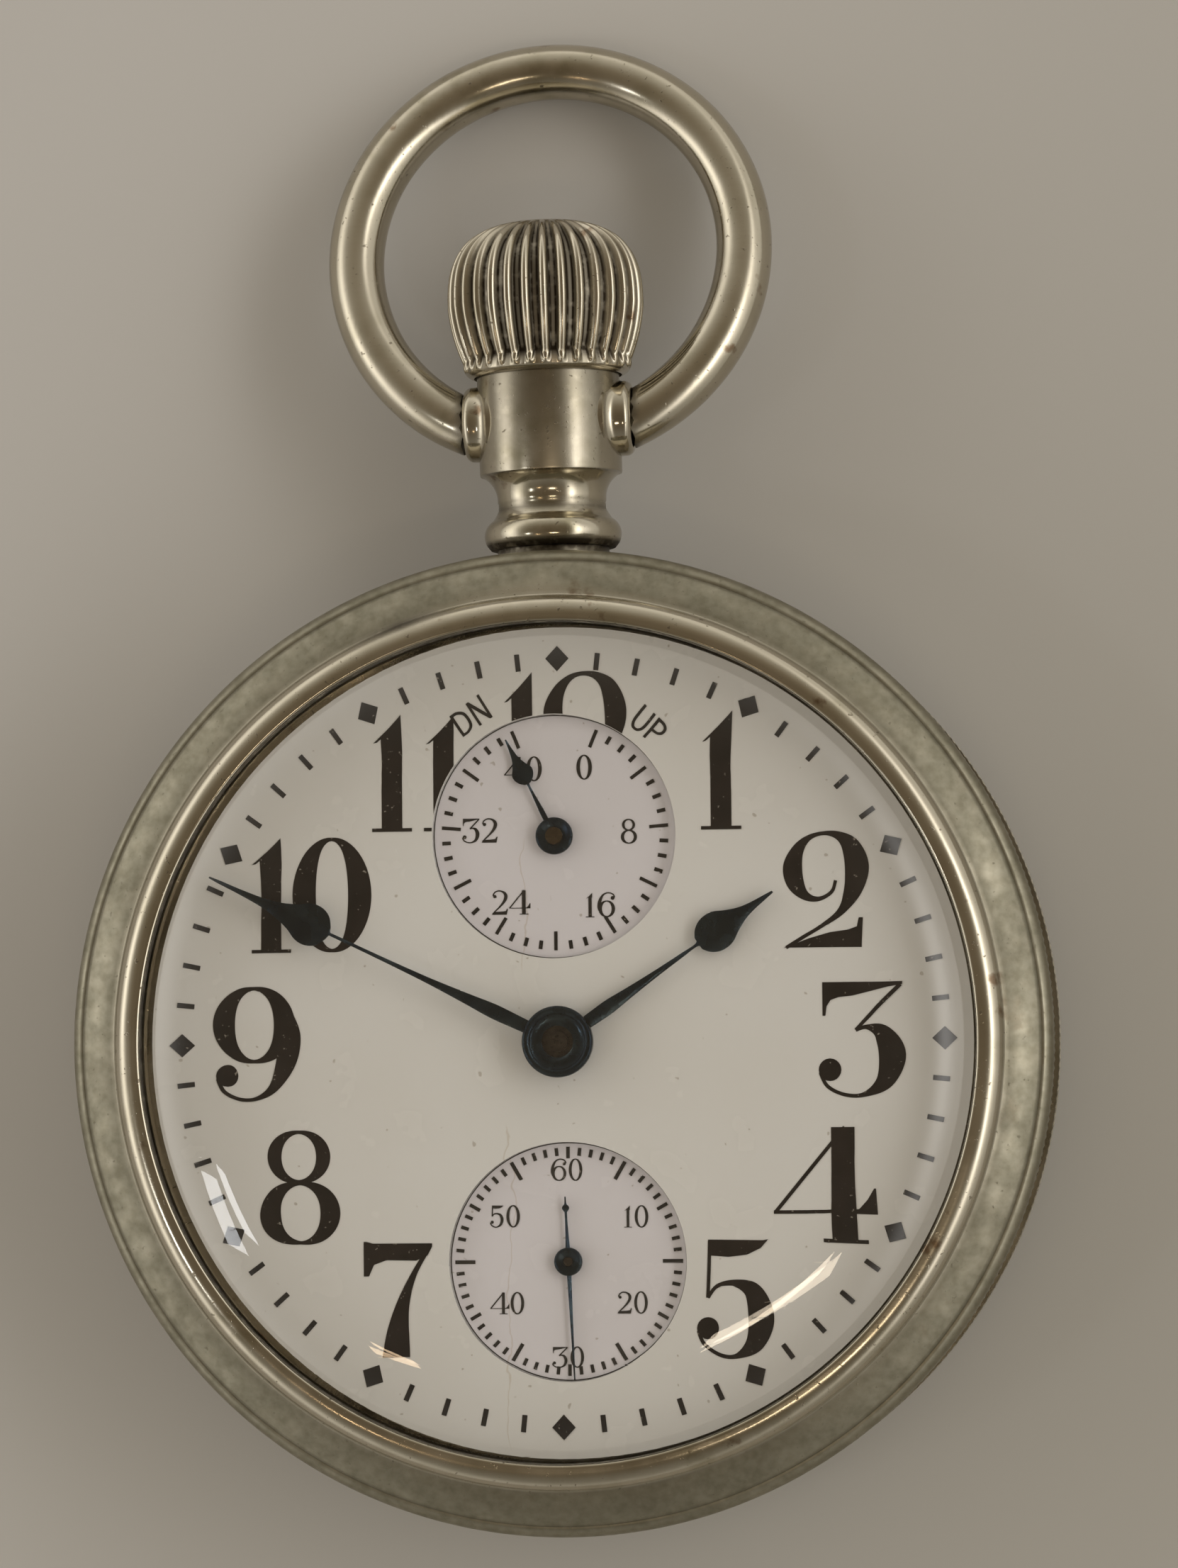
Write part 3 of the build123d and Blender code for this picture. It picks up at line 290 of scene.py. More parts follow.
# %% Drawing a profile
def arc_points(a, b, c, steps=10):
    """Points after a on the circle through a, b and c, as far as c."""
    (ax, ay), (bx, by), (cx, cy) = a, b, c
    d = 2 * (ax * (by - cy) + bx * (cy - ay) + cx * (ay - by))
    squares = [x * x + y * y for x, y in (a, b, c)]
    ux = (squares[0] * (by - cy) + squares[1] * (cy - ay) + squares[2] * (ay - by)) / d
    uy = (squares[0] * (cx - bx) + squares[1] * (ax - cx) + squares[2] * (bx - ax)) / d
    radius = math.hypot(ax - ux, ay - uy)
    start, middle, end = (math.atan2(y - uy, x - ux) for x, y in (a, b, c))
    sweep, half = (end - start) % math.tau, (middle - start) % math.tau
    if half > sweep:
        sweep -= math.tau
    turns = [start + sweep * k / steps for k in range(1, steps + 1)]
    return [(ux + radius * math.cos(t), uy + radius * math.sin(t)) for t in turns]


def profile(*entries):
    points = [entries[0]]
    for entry in entries[1:]:
        if isinstance(entry[0], tuple):
            points += arc_points(points[-1], entry[0], entry[1])
        else:
            points.append(entry)
    return points


# %% Turning it
def only(piece):
    """Makes piece the one selected and active object."""
    if bpy.context.object and bpy.context.object.mode != "OBJECT":
        bpy.ops.object.mode_set(mode="OBJECT")
    bpy.ops.object.select_all(action="DESELECT")
    piece.select_set(True)
    bpy.context.view_layer.objects.active = piece


def joined(first, *others):
    only(first)
    for other in others:
        other.select_set(True)
    bpy.ops.object.join()
    return first


def piece_from(name, points, edges=(), faces=()):
    mesh = bpy.data.meshes.new(name)
    mesh.from_pydata([Vector(p) * MM for p in points], edges, faces)
    piece = bpy.data.objects.new(name, mesh)
    scene.collection.objects.link(piece)
    only(piece)
    return piece


def reshape(*steps):
    """Runs edit mode operators, each a function, and turns all normals outwards at the end."""
    bpy.ops.object.mode_set(mode="EDIT")
    bpy.ops.mesh.select_all(action="SELECT")
    for step in steps:
        step()
        bpy.ops.mesh.select_all(action="SELECT")
    bpy.ops.mesh.normals_make_consistent(inside=False)
    bpy.ops.object.mode_set(mode="OBJECT")


def smoothed(angle):
    """Smooth shading with creases where faces meet more sharply than angle, in degrees."""
    bpy.ops.object.shade_smooth_by_angle(angle=math.radians(angle))


def turned(name, points, steps=192, along_y=False, smooth=40, closed=True):
    """Spins the profile (radius, height) round Z, or round the stem's axis along Y."""
    if along_y:
        corners = [(r, h, STEM_Z) for r, h in points]
        centre, axis = (0, 0, STEM_Z * MM), (0, 1, 0)
    else:
        corners = [(r, 0, h) for r, h in points]
        centre, axis = (0, 0, 0), (0, 0, 1)
    edges = [(k, k + 1) for k in range(len(corners) - 1)]
    if closed:
        edges.append((len(corners) - 1, 0))
    piece = piece_from(name, corners, edges)
    spin = dict(steps=steps, angle=math.tau, center=centre, axis=axis, dupli=False)
    reshape(lambda: bpy.ops.mesh.spin(**spin),
            lambda: bpy.ops.mesh.remove_doubles(threshold=0.0005 * MM))
    smoothed(smooth)
    return piece


def wears(piece, material):
    piece.data.materials.clear()
    piece.data.materials.append(material)


def finished(piece, body, material, slot, *nodes):
    """Rides the piece on its body, gives it its material and hides the solids it stands for."""
    wears(piece, material)
    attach(piece, body)
    if nodes:
        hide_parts(*nodes)
    print(f"{piece.name}: {len(piece.data.polygons)} faces")
    return piece

# %% [markdown]
# ## Mixing finishes
# Old metal is never one colour: it has a clean tone, a tarnished tone in clouds, small dark
# pits and fine scratches. Each finish below is a Principled shader whose colour, roughness
# and bump come from noise on Object coordinates, so the pattern stays on the piece.

# %% Worn nickel of the case
RUST, PIT = (0.17, 0.095, 0.045), (0.10, 0.075, 0.045)


def worn_nickel(name, clean, tarnished, rough=(0.10, 0.23)):
    material, shader = finish(name, Metallic=1.0)
    clouds = band(material, grain(material, 9.0, detail=5), 0.42, 0.66)
    film = band(material, grain(material, 1.6, detail=4), 0.40, 0.72)
    tarnish = sums(material, "MULTIPLY", clouds, film)
    colour = mixed(material, tarnish, clean, tarnished)
    rust = band(material, grain(material, 2.6, detail=6, turn=(0.4, 0.2, 0.9)), 0.665, 0.72, 0, 0.75)
    colour = mixed(material, rust, colour, RUST)
    pits = band(material, grain(material, 0.28, detail=2), 0.675, 0.74, 0, 0.6)
    colour = mixed(material, pits, colour, PIT)
    haze = band(material, grain(material, 5.0, detail=5, turn=(0, 0.7, 0.3)), 0.35, 0.68, *rough)
    surfaced(material, colour, sums(material, "ADD", haze, sums(material, "MULTIPLY", pits, 0.25)))
    scuffs = grain(material, 0.22, stretch=(0.06, 1, 1), detail=3, turn=(0, 0, 0.6))
    scratches = grain(material, 0.30, stretch=(1, 0.05, 1), detail=3, turn=(0.2, 0.1, -0.5))
    dents = grain(material, 6.0, detail=2)
    bumped(material, shader, (dents, 0.35, 0.12), (scuffs, 0.10, 0.02), (scratches, 0.10, 0.02),
           (pits, 0.25, 0.03))
    return material


case_nickel = worn_nickel("case_nickel", (0.52, 0.475, 0.38), (0.36, 0.325, 0.23))
crown_nickel = worn_nickel("crown_nickel", (0.56, 0.51, 0.41), (0.37, 0.33, 0.235), (0.14, 0.25))
print("case metal:", len(case_nickel.node_tree.nodes), "nodes")

# %% Enamel of the dials
# A crack runs down the dial: (distance from the middle line, lower end, upper end).
CRACKS = ((-4.0, -23.0, -4.5), (-1.6, 4.0, 12.0))
CRACK_BROWN, SPECK_BROWN = (0.42, 0.30, 0.17), (0.30, 0.24, 0.18)


def enamel(name, colour, shade):
    material, shader = finish(name, Coat_Weight=0.6, Coat_Roughness=0.04, Specular_IOR_Level=0.5)
    clouds = band(material, grain(material, 12.0, detail=4), 0.35, 0.7)
    tint = mixed(material, clouds, colour, shade)
    x, y, _ = add(material, "SeparateXYZ", {"Vector": add(material, "TexCoord").outputs["Object"]}).outputs
    waver = sums(material, "SUBTRACT", grain(material, 14.0, detail=6), 0.5)
    waver = sums(material, "MULTIPLY", waver, 9 * MM)
    for offset, low, high in CRACKS:
        off = sums(material, "SUBTRACT", sums(material, "ADD", x, waver), offset * MM)
        run = band(material, sums(material, "ABSOLUTE", off, 0), 0.012 * MM, 0.05 * MM, 0.30, 0.0)
        for end, inwards in ((low, 0.6), (high, -0.6)):
            run = sums(material, "MULTIPLY", run, band(material, y, end * MM, (end + inwards) * MM))
        tint = mixed(material, run, tint, CRACK_BROWN)
    specks = band(material, grain(material, 0.5, detail=1), 0.765, 0.80, 0, 0.5)
    tint = mixed(material, specks, tint, SPECK_BROWN)
    surfaced(material, tint, band(material, grain(material, 3.0), 0.3, 0.7, 0.16, 0.30))
    bumped(material, shader, (grain(material, 4.0, detail=2), 0.12, 0.03))
    return material


dial_enamel = enamel("dial_enamel", (0.795, 0.788, 0.795), (0.757, 0.744, 0.738))
subdial_enamel = enamel("subdial_enamel", (0.782, 0.758, 0.825), (0.748, 0.722, 0.775))

# %% Fired ink of the print
SKIP_PALE = (0.45, 0.40, 0.35)


def ink(name, colour, light):
    """Black fired on the enamel, with the small pale skips of an old transfer print."""
    material, _ = finish(name, Specular_IOR_Level=0.2)
    skips = band(material, grain(material, 0.22, detail=3), 0.685, 0.73, 0, 0.6)
    tone = mixed(material, band(material, grain(material, 2.5), 0.35, 0.7), colour, light)
    surfaced(material, mixed(material, skips, tone, SKIP_PALE),
             band(material, grain(material, 1.0), 0.3, 0.7, 0.28, 0.45))
    return material


numeral_ink = ink("numeral_ink", (0.008, 0.005, 0.004), (0.018, 0.012, 0.010))
scale_ink = ink("scale_ink", (0.012, 0.010, 0.009), (0.030, 0.025, 0.022))
seconds_ink = ink("seconds_ink", (0.020, 0.018, 0.017), (0.042, 0.038, 0.035))

# %% Steel and brass
def steel(name, colour, shade, rough=(0.16, 0.3), size=1.5):
    """A plain worked metal with soft clouds size mm across and a brushed grain."""
    material, shader = finish(name, Metallic=1.0)
    tone = band(material, grain(material, size, detail=4), 0.35, 0.68)
    surfaced(material, mixed(material, tone, colour, shade),
             band(material, grain(material, size * 0.6, detail=4), 0.3, 0.7, *rough))
    brushed = grain(material, 0.12, stretch=(0.1, 1, 1), turn=(0, 0, 0.5))
    bumped(material, shader, (brushed, 0.12, 0.01))
    return material


blued = steel("blued_steel", (0.014, 0.022, 0.033), (0.030, 0.045, 0.055), (0.18, 0.34))

# %% [markdown]
# The glass is clear with faint smears and hairlines. Camera rays see it bend and mirror; light
# on its way to a matt surface goes straight through, only a little weaker, so the dial under it
# is lit without noise. A Mix Shader driven by the Light Path node does this.

# %% Glass
glass, glass_shader = finish("old_crystal", Transmission_Weight=1.0, IOR=1.52, Roughness=0.0,
                             Base_Color=(0.985, 0.985, 0.975, 1))
streaks = grain(glass, 3.0, stretch=(0.3, 1, 1), detail=5, turn=(0, 0, 0.9))
link(glass, band(glass, streaks, 0.55, 0.8, 0.0, 0.035), glass_shader.inputs["Roughness"])
wear = grain(glass, 0.25, stretch=(0.03, 1, 1), detail=2, turn=(0, 0, 0.7))
bumped(glass, glass_shader, (band(glass, wear, 0.70, 0.76), 0.15, 0.003))
clear = add(glass, "BsdfTransparent", {"Color": (0.93, 0.93, 0.915, 1)})
path = add(glass, "LightPath")
passing = sums(glass, "MAXIMUM", path.outputs["Is Shadow Ray"], path.outputs["Is Diffuse Ray"])
either = add(glass, "MixShader", {0: passing, 1: glass_shader.outputs[0], 2: clear.outputs[0]})
link(glass, either.outputs[0], glass.node_tree.nodes["Material Output"].inputs["Surface"])
print("glass and steel ready")

# %% [markdown]
# ## Bezel
# The bezel screws on from the front and holds the glass. From the glass outwards it has a
# rolled ridge, which pockets have kept bright, and one broad, nearly flat band with a dull
# film, which ends in a fine line and a milled edge. The section is drawn once and spun; the
# milling comes from pressing every second column of the edge in.

# %% Lathe the bezel
MILLING_COLUMNS, MILLING_DEPTH = 720, 0.07


def milled(piece, low, high):
    """Presses narrow grooves into the straight edge between two heights."""
    for vertex in piece.data.vertices:
        x, y, z = vertex.co / MM
        r = math.hypot(x, y)
        if low - 0.01 <= z <= high + 0.01 and r > CASE_R - 0.12:
            turn = math.atan2(y, x) / math.tau * MILLING_COLUMNS
            groove = MILLING_DEPTH if round(turn) % 2 else 0.0
            vertex.co.x *= (r - groove) / r
            vertex.co.y *= (r - groove) / r


EDGE_LOW, EDGE_HIGH = SEAM_BACK + 7.2, SEAM_BACK + 8.7
section = profile(
    (27.3, EDGE_LOW), (CASE_R - 0.06, EDGE_LOW), (CASE_R - 0.01, EDGE_LOW + 0.06),
    (CASE_R - 0.01, EDGE_HIGH - 0.5), (CASE_R - 0.1, EDGE_HIGH - 0.38),
    (CASE_R - 0.1, EDGE_HIGH - 0.28), (CASE_R - 0.02, EDGE_HIGH - 0.2),
    ((CASE_R - 0.10, EDGE_HIGH + 0.25), (CASE_R - 0.58, EDGE_HIGH + 0.72)),
    (CASE_R - 0.68, EDGE_HIGH + 0.72), (CASE_R - 0.72, EDGE_HIGH + 0.82),
    ((26.85, 14.53), (25.82, 14.98)), (25.72, 15.04), ((25.20, 15.64), (24.42, 15.85)),
    ((24.22, 15.80), (24.13, 15.62)), (24.12, 15.40), (24.12, 15.06), (24.64, 15.06),
    (24.64, 14.11), (23.92, 14.11), (23.92, 12.51), (26.04, 12.51), (26.04, 13.14), (27.3, 13.14))
bezel = turned("bezel_ring", section, steps=MILLING_COLUMNS)
milled(bezel, EDGE_LOW + 0.05, EDGE_HIGH - 0.5)
finished(bezel, "bezel", case_nickel, "case_nickel", "bezel")

# %% [markdown]
# ## Glass
# A low crystal whose edge rolls down to its seat. It has a real inside face, because light
# bends and is mirrored at both. Each face is an arc over the dial, then the roll.

# %% Lathe the glass
OUTER_ROLL, INNER_ROLL = (18.6, 16.95), (18.3, 15.80)
THICKNESS = 1.15


def dome_arc(start, top, steps=24):
    """Arc from start (radius, height) to the axis at height top, centred on the axis."""
    r, z = start
    rise = top - z
    radius = (r * r + rise * rise) / (2 * rise)
    turns = [math.asin(r / radius) * (1 - k / steps) for k in range(1, steps + 1)]
    return [(radius * math.sin(t), top - radius + radius * math.cos(t)) for t in turns]


outline = [(0, GLASS_TOP - THICKNESS)] + dome_arc(INNER_ROLL, GLASS_TOP - THICKNESS)[-2::-1]
outline += profile(INNER_ROLL, ((21.9, 15.10), (23.95, 14.2)), (24.55, 14.16), (24.59, 14.2),
                   (24.59, 14.95), (24.5, 15.0), (24.0, 15.02), ((22.0, 16.2), OUTER_ROLL))
outline += dome_arc(OUTER_ROLL, GLASS_TOP)
crystal = turned("watch_glass", outline, steps=192, smooth=25, closed=False)
finished(crystal, "glass", glass, "crystal_glass", "crystal")

# %% [markdown]
# ## Back cover
# A screwed-on cover, turned thin, with the same milled edge as the bezel so that thumb and
# palm can grip both. Its flat middle is what the watch lies on.

# %% Lathe the back
EDGE_BOTTOM = SEAM_BACK - 1.5
section = profile(
    (0, 0), (16.9, 0), ((17.2, 0.003), (17.5, 0.03)), ((23.5, 0.6), (27.3, 2.13)),
    ((27.98, 2.62), (CASE_R - 0.12, EDGE_BOTTOM)), (CASE_R - 0.02, EDGE_BOTTOM + 0.12),
    (CASE_R - 0.02, EDGE_BOTTOM + 0.3), (CASE_R - 0.1, EDGE_BOTTOM + 0.38),
    (CASE_R - 0.1, EDGE_BOTTOM + 0.46), (CASE_R - 0.01, EDGE_BOTTOM + 0.54),
    (CASE_R - 0.01, SEAM_BACK - 0.06), (CASE_R - 0.06, SEAM_BACK), (27.3, SEAM_BACK),
    (27.3, 2.86), (25.9, 2.86), ((22.6, 1.45), (16.5, 0.91)), (0, 0.91))
back = turned("back_shell", section, steps=MILLING_COLUMNS, closed=False)
milled(back, EDGE_BOTTOM + 0.54, SEAM_BACK - 0.05)
finished(back, "back", case_nickel, "case_nickel", "back_cover")

# %% [markdown]
# ## Grime, shade and film
# Recesses and gaps are darkened, partly by dirt and partly as painted shade, and a dull film
# stays where no pocket rubs it off. Where they are is written on the points of a piece as two
# attributes, one for the grime and painted shade and one for the dull film, which the nickel
# reads. A piece without them just stays clean.

# %% Grime, painted shade and dull film
FILM_PALE, FILM_DARK, GRIME_AND_SHADE_BROWN = (0.285, 0.268, 0.205), (0.232, 0.215, 0.157), (0.030, 0.022, 0.014)


def near(value, middle, spread):
    return max(0.0, 1 - abs(value - middle) / spread)


def marked(piece, name, rule):
    """Stores rule(x, y, z in mm), kept between 0 and 1, on each point."""
    shares = [max(0.0, min(1.0, rule(*(v.co / MM)))) for v in piece.data.vertices]
    piece.data.attributes.new(name, "FLOAT", "POINT").data.foreach_set("value", shares)


def covered(material, name, patches, colour, roughness):
    """Lays a colour over the finish where the attribute says, in patches, and roughens it."""
    share = add(material, "Attribute", attribute_name=name).outputs["Fac"]
    share = sums(material, "MULTIPLY", share, patches)
    surfaced(material, mixed(material, share, under(material, "Base Color"), colour),
             sums(material, "ADD", under(material, "Roughness"),
                  sums(material, "MULTIPLY", share, roughness)))


for metal in (case_nickel, crown_nickel):
    film = mixed(metal, band(metal, grain(metal, 0.5, detail=4), 0.35, 0.65), FILM_PALE, FILM_DARK)
    covered(metal, "dull", band(metal, grain(metal, 1.3, detail=5), 0.3, 0.6, 0.72, 1.0), film, 0.30)
    # Dark brown over the finish where the attribute says: dirt, and painted shade in recesses and gaps.
    covered(metal, "grime_and_shade", band(metal, grain(metal, 0.7, detail=4), 0.2, 0.5, 0.5, 1.0), GRIME_AND_SHADE_BROWN, 0.35)


def bezel_grime_and_shade(x, y, z):
    """Painted shade in the gap beside the glass, darker in the valley, dirt at the fine line and under the
    edge, and a stain.
    """
    r, around = math.hypot(x, y), math.atan2(y, x)
    # The inner lip next to the glass is darkened as painted shade.
    rim = 0.95 * near(r, 24.12, 0.08) * (z > 15.0)
    valley = 0.22 * near(r, 25.77, 0.16) * (z > 14)
    stain = 0.85 * near(around, 1.90, 0.14) * near(r, 25.6, 0.5) * (z > 14)
    line = 0.25 * near(r, CASE_R - 0.7, 0.05) * (z > 13)
    return rim + valley + stain + line + edge_grime(r) * (z < 13.0)


def edge_grime(r):
    return 0.5 * (28.3 < r < CASE_R - 0.05)


def bezel_film(x, y, z):
    """Full on the flat band, and rubbed thin near the pendant."""
    rubbed = near(math.atan2(y, x), math.pi / 2, 0.5)
    return (math.hypot(x, y) - 25.6) / 0.3 * (1 - 0.85 * rubbed)


marked(bezel, "dull", bezel_film)
marked(bezel, "grime_and_shade", bezel_grime_and_shade)
marked(back, "grime_and_shade", lambda x, y, z: edge_grime(math.hypot(x, y)))

# %% [markdown]
# ## Pendant
# The neck that carries crown and bow: a bead above the case, a narrow waist, a cove and a
# plain barrel, all one turned piece, with a flat round ear on each side for the bow's pins.

# %% Lathe the pendant
EAR_Y = 36.5
section = profile(
    (1.45, 27.6), (3.26, 27.6), (3.28, 28.94), (3.66, 28.98), (3.86, 29.22),
    ((4.02, 29.95), (3.62, 30.62)), (3.50, 30.70), (3.36, 30.93), (3.30, 31.02), (3.16, 31.28),
    (3.15, 31.68), (3.20, 31.76), ((3.42, 32.72), (4.05, 33.34)), (4.16, 33.36), (4.19, 33.46),
    (4.19, 39.23), (4.09, 39.33), (2.62, 39.33), (2.62, 31.62), (1.45, 31.0))
pendant = turned("pendant_tube", section, steps=160, along_y=True, smooth=35)
ear_section = profile((0, 3.0), (2.75, 3.0), (2.75, 3.45), ((2.36, 3.78), (2.22, 4.20)), (2.20, 4.42),
                      ((2.08, 4.82), (1.70, 4.98)), (0, 4.98))
stem_axis = Matrix.Translation((0, 0, STEM_Z * MM))
ears = []
for side in (-1, 1):
    ear = turned("ear", ear_section, steps=96, along_y=True, smooth=50, closed=False)
    to_side = stem_axis @ Matrix.Rotation(-side * math.pi / 2, 4, "Z") @ stem_axis.inverted()
    ear.data.transform(Matrix.Translation((0, EAR_Y * MM, 0)) @ to_side)
    ears.append(ear)
joined(pendant, *ears)


# Darker under the bead, in the waist, along the upper edges and round the ears' feet: painted shade in these
# recesses and under the crown, with some dirt.
def pendant_grime_and_shade(x, y, z):
    recesses = 1.8 * near(y, 28.95, 0.55) + 0.65 * near(y, 31.35, 0.42)
    edges = 0.35 * near(y, 33.4, 0.12) + 0.8 * near(y, 39.35, 0.25)
    ear_foot = 0.35 * near(math.hypot(y - EAR_Y, z - STEM_Z), 2.6, 0.25) * (3.3 < abs(x) < 4.2)
    return recesses + edges + ear_foot


marked(pendant, "grime_and_shade", pendant_grime_and_shade)
finished(pendant, "case", case_nickel, "case_nickel", "pendant")

# %% [markdown]
# ## Crown
# The crown is a turned knob whose grip was rolled into thirty-two round ribs with a flat
# groove as wide as a rib between them. Its upper half is part of a squarish oval, and its
# lower rim reaches down over the top of the pendant. It is spun with sixteen columns to a
# rib, and each column is then pressed in by the rib's shape, at right angles to the knob's
# surface, fading out where the ribs run up on the top. At the rim the grooves are also pressed
# up a little, so that it is scalloped.

# %% Lathe and rib the crown
RIBS = 32
CROWN_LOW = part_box("pendant")[1].y / MM + 0.15
CROWN_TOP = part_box("crown")[1].y / MM - 0.02
BELLY_R, BELLY_Y, SQUARENESS = 5.78, CROWN_LOW + 3.8, 2.8
SOCKET_R, RIM = 2.28, (4.36, CROWN_LOW - 0.36)
section = [(0, CROWN_LOW - 1.5), (SOCKET_R, CROWN_LOW - 1.5), (SOCKET_R, CROWN_LOW + 0.03),
           (4.30, CROWN_LOW + 0.03), RIM]
for way, end in (((4.76, CROWN_LOW - 0.14), (4.95, CROWN_LOW + 0.50)),
                 ((5.46, CROWN_LOW + 1.95), (BELLY_R, BELLY_Y))):
    section += arc_points(section[-1], way, end, steps=14)
for k in range(1, 31):
    turn = math.pi / 2 * k / 30
    section.append((BELLY_R * math.cos(turn) ** (2 / SQUARENESS) if k < 30 else 0.0,
                    BELLY_Y + (CROWN_TOP - BELLY_Y) * math.sin(turn) ** (2 / SQUARENESS)))
crown = turned("crown_knob", section, steps=RIBS * 16, along_y=True, smooth=60, closed=False)

RIB_SHARE, RIB_HIGH, RIBS_FROM_R = 0.56, 0.46, 2.4
grime_and_shade_of = []
for vertex in crown.data.vertices:
    x, y, z = vertex.co.x / MM, vertex.co.y / MM, vertex.co.z / MM - STEM_Z
    r = math.hypot(x, z)
    share = 0.0
    if y > CROWN_LOW and r > RIBS_FROM_R:
        spot = abs((math.atan2(z, x) / math.tau * RIBS) % 1 * 2 - 1)
        fade = min(1, (r - RIBS_FROM_R) / 1.6) if y > BELLY_Y else 1.0
        pressed = 1 - math.sqrt(1 - min(1.0, spot / RIB_SHARE) ** 2) if spot < RIB_SHARE else 1.0
        out, up = r - 3.2, (y - BELLY_Y) * 0.7
        size = math.hypot(out, up)
        depth = RIB_HIGH * pressed * fade
        new_r, new_y = r - depth * out / size, y - depth * up / size
        vertex.co = Vector((x * new_r / r, new_y, z * new_r / r + STEM_Z)) * MM
        vertex.co.y += 0.32 * MM * pressed * near(y, CROWN_LOW, 1.1) * (r > 4.2)
        # The grooves, the feet of the ribs, the rim and the underside are darkened: painted shade in these
        # recesses and under the knob, with some dirt.
        foot = near(spot, RIB_SHARE + 0.10, 0.22)
        share = fade * (1.25 * foot + 0.70 * max(0.0, min(1.0, (pressed - 0.5) / 0.4)))
        share += 0.9 * pressed * near(y, CROWN_LOW - 0.1, 0.5)
    grime_and_shade_of.append(min(1.0, share + 0.5 * (y < CROWN_LOW + 0.05 and r < 4.35)))
crown.data.attributes.new("grime_and_shade", "FLOAT", "POINT").data.foreach_set("value", grime_and_shade_of)
finished(crown, "winder", crown_nickel, "case_nickel", "crown")

# %% [markdown]
# ## Bow
# The bow is a length of round wire bent to an oval and sprung over the ears on two pins. A
# curve with a round bevel gives the wire; two cuts make the flats that rub on the ears. It is
# drawn upright and then swung back about its pins until it lies on the table.

# %% Bend the bow
CUT_X, REACH, HALF_W, WIRE_R = 5.07, 22.65, 11.6, 1.645
share = math.sqrt(1 - (CUT_X / HALF_W) ** 2)
half_h = REACH / (1 + share)
centre_y = EAR_Y + REACH - half_h
end_turn = math.atan2(-share, CUT_X / HALF_W) - math.radians(6)
wire = bpy.data.curves.new("bow_wire", "CURVE")
wire.dimensions = "3D"
wire.bevel_depth, wire.bevel_resolution, wire.use_fill_caps = WIRE_R * MM, 12, True
line = wire.splines.new("POLY")
COUNT = 200
line.points.add(COUNT - 1)
for k in range(COUNT):
    turn = end_turn + (math.pi - 2 * end_turn) * k / (COUNT - 1)
    spot = Vector((HALF_W * math.cos(turn), centre_y + half_h * math.sin(turn), STEM_Z)) * MM
    line.points[k].co = (*spot, 1)
bow = bpy.data.objects.new("bow_ring", wire)
scene.collection.objects.link(bow)
only(bow)
bpy.ops.object.convert(target="MESH")
bpy.ops.object.mode_set(mode="EDIT")
low_cut = (EAR_Y + 4.5) * MM
for side in (-1, 1):
    form = bmesh.from_edit_mesh(bow.data)
    for face in form.faces:
        middle = face.calc_center_median()
        face.select_set(middle.y < low_cut and middle.x * side > 0)
    bpy.ops.mesh.bisect(plane_co=(side * CUT_X * MM, 0, 0), plane_no=(side, 0, 0),
                        clear_inner=True, use_fill=True)
bpy.ops.mesh.select_all(action="SELECT")
bpy.ops.mesh.normals_make_consistent(inside=False)
bpy.ops.object.mode_set(mode="OBJECT")
smoothed(40)
droop = math.asin((STEM_Z - WIRE_R - 0.05) / REACH)
pivot = Matrix.Translation(Vector((0, EAR_Y, STEM_Z)) * MM)
bow.data.transform(pivot @ Matrix.Rotation(-droop, 4, "X") @ pivot.inverted())
# Darker where the wire meets the ears: painted shade between the parts, with dirt.
marked(bow, "grime_and_shade", lambda x, y, z: 0.8 * near(abs(x), CUT_X, 0.45) * (y < low_cut / MM))
finished(bow, "bow", case_nickel, "case_nickel", "bow")

# %% [markdown]
# ## Numerals
# The figures are bold "fat face" figures: very thick stems, hair-thin joins and round drops.
# Each is drawn like pen work, in a box one unit high, and stored as (width, marks). A mark is
# a `stroke`, a smooth curve through (x, y, width); a `flat` shape with corners (x, y); a
# `loop` (centre, radii, thickness); or a `drop` (centre, radius). The same figures, with
# lighter strokes, serve for the small scales, but for the two, which has a plain form there.

# %% Figures
def stem(x, width, low=0.0, high=1.0):
    """An upright stroke."""
    return "stroke", [(x, low, width), (x, (low + high) / 2, width), (x, high, width)]


def slab(left, right, low, high):
    """An upright rectangle, corner by corner."""
    return "flat", [(left, low), (right, low), (right, high), (left, high)]


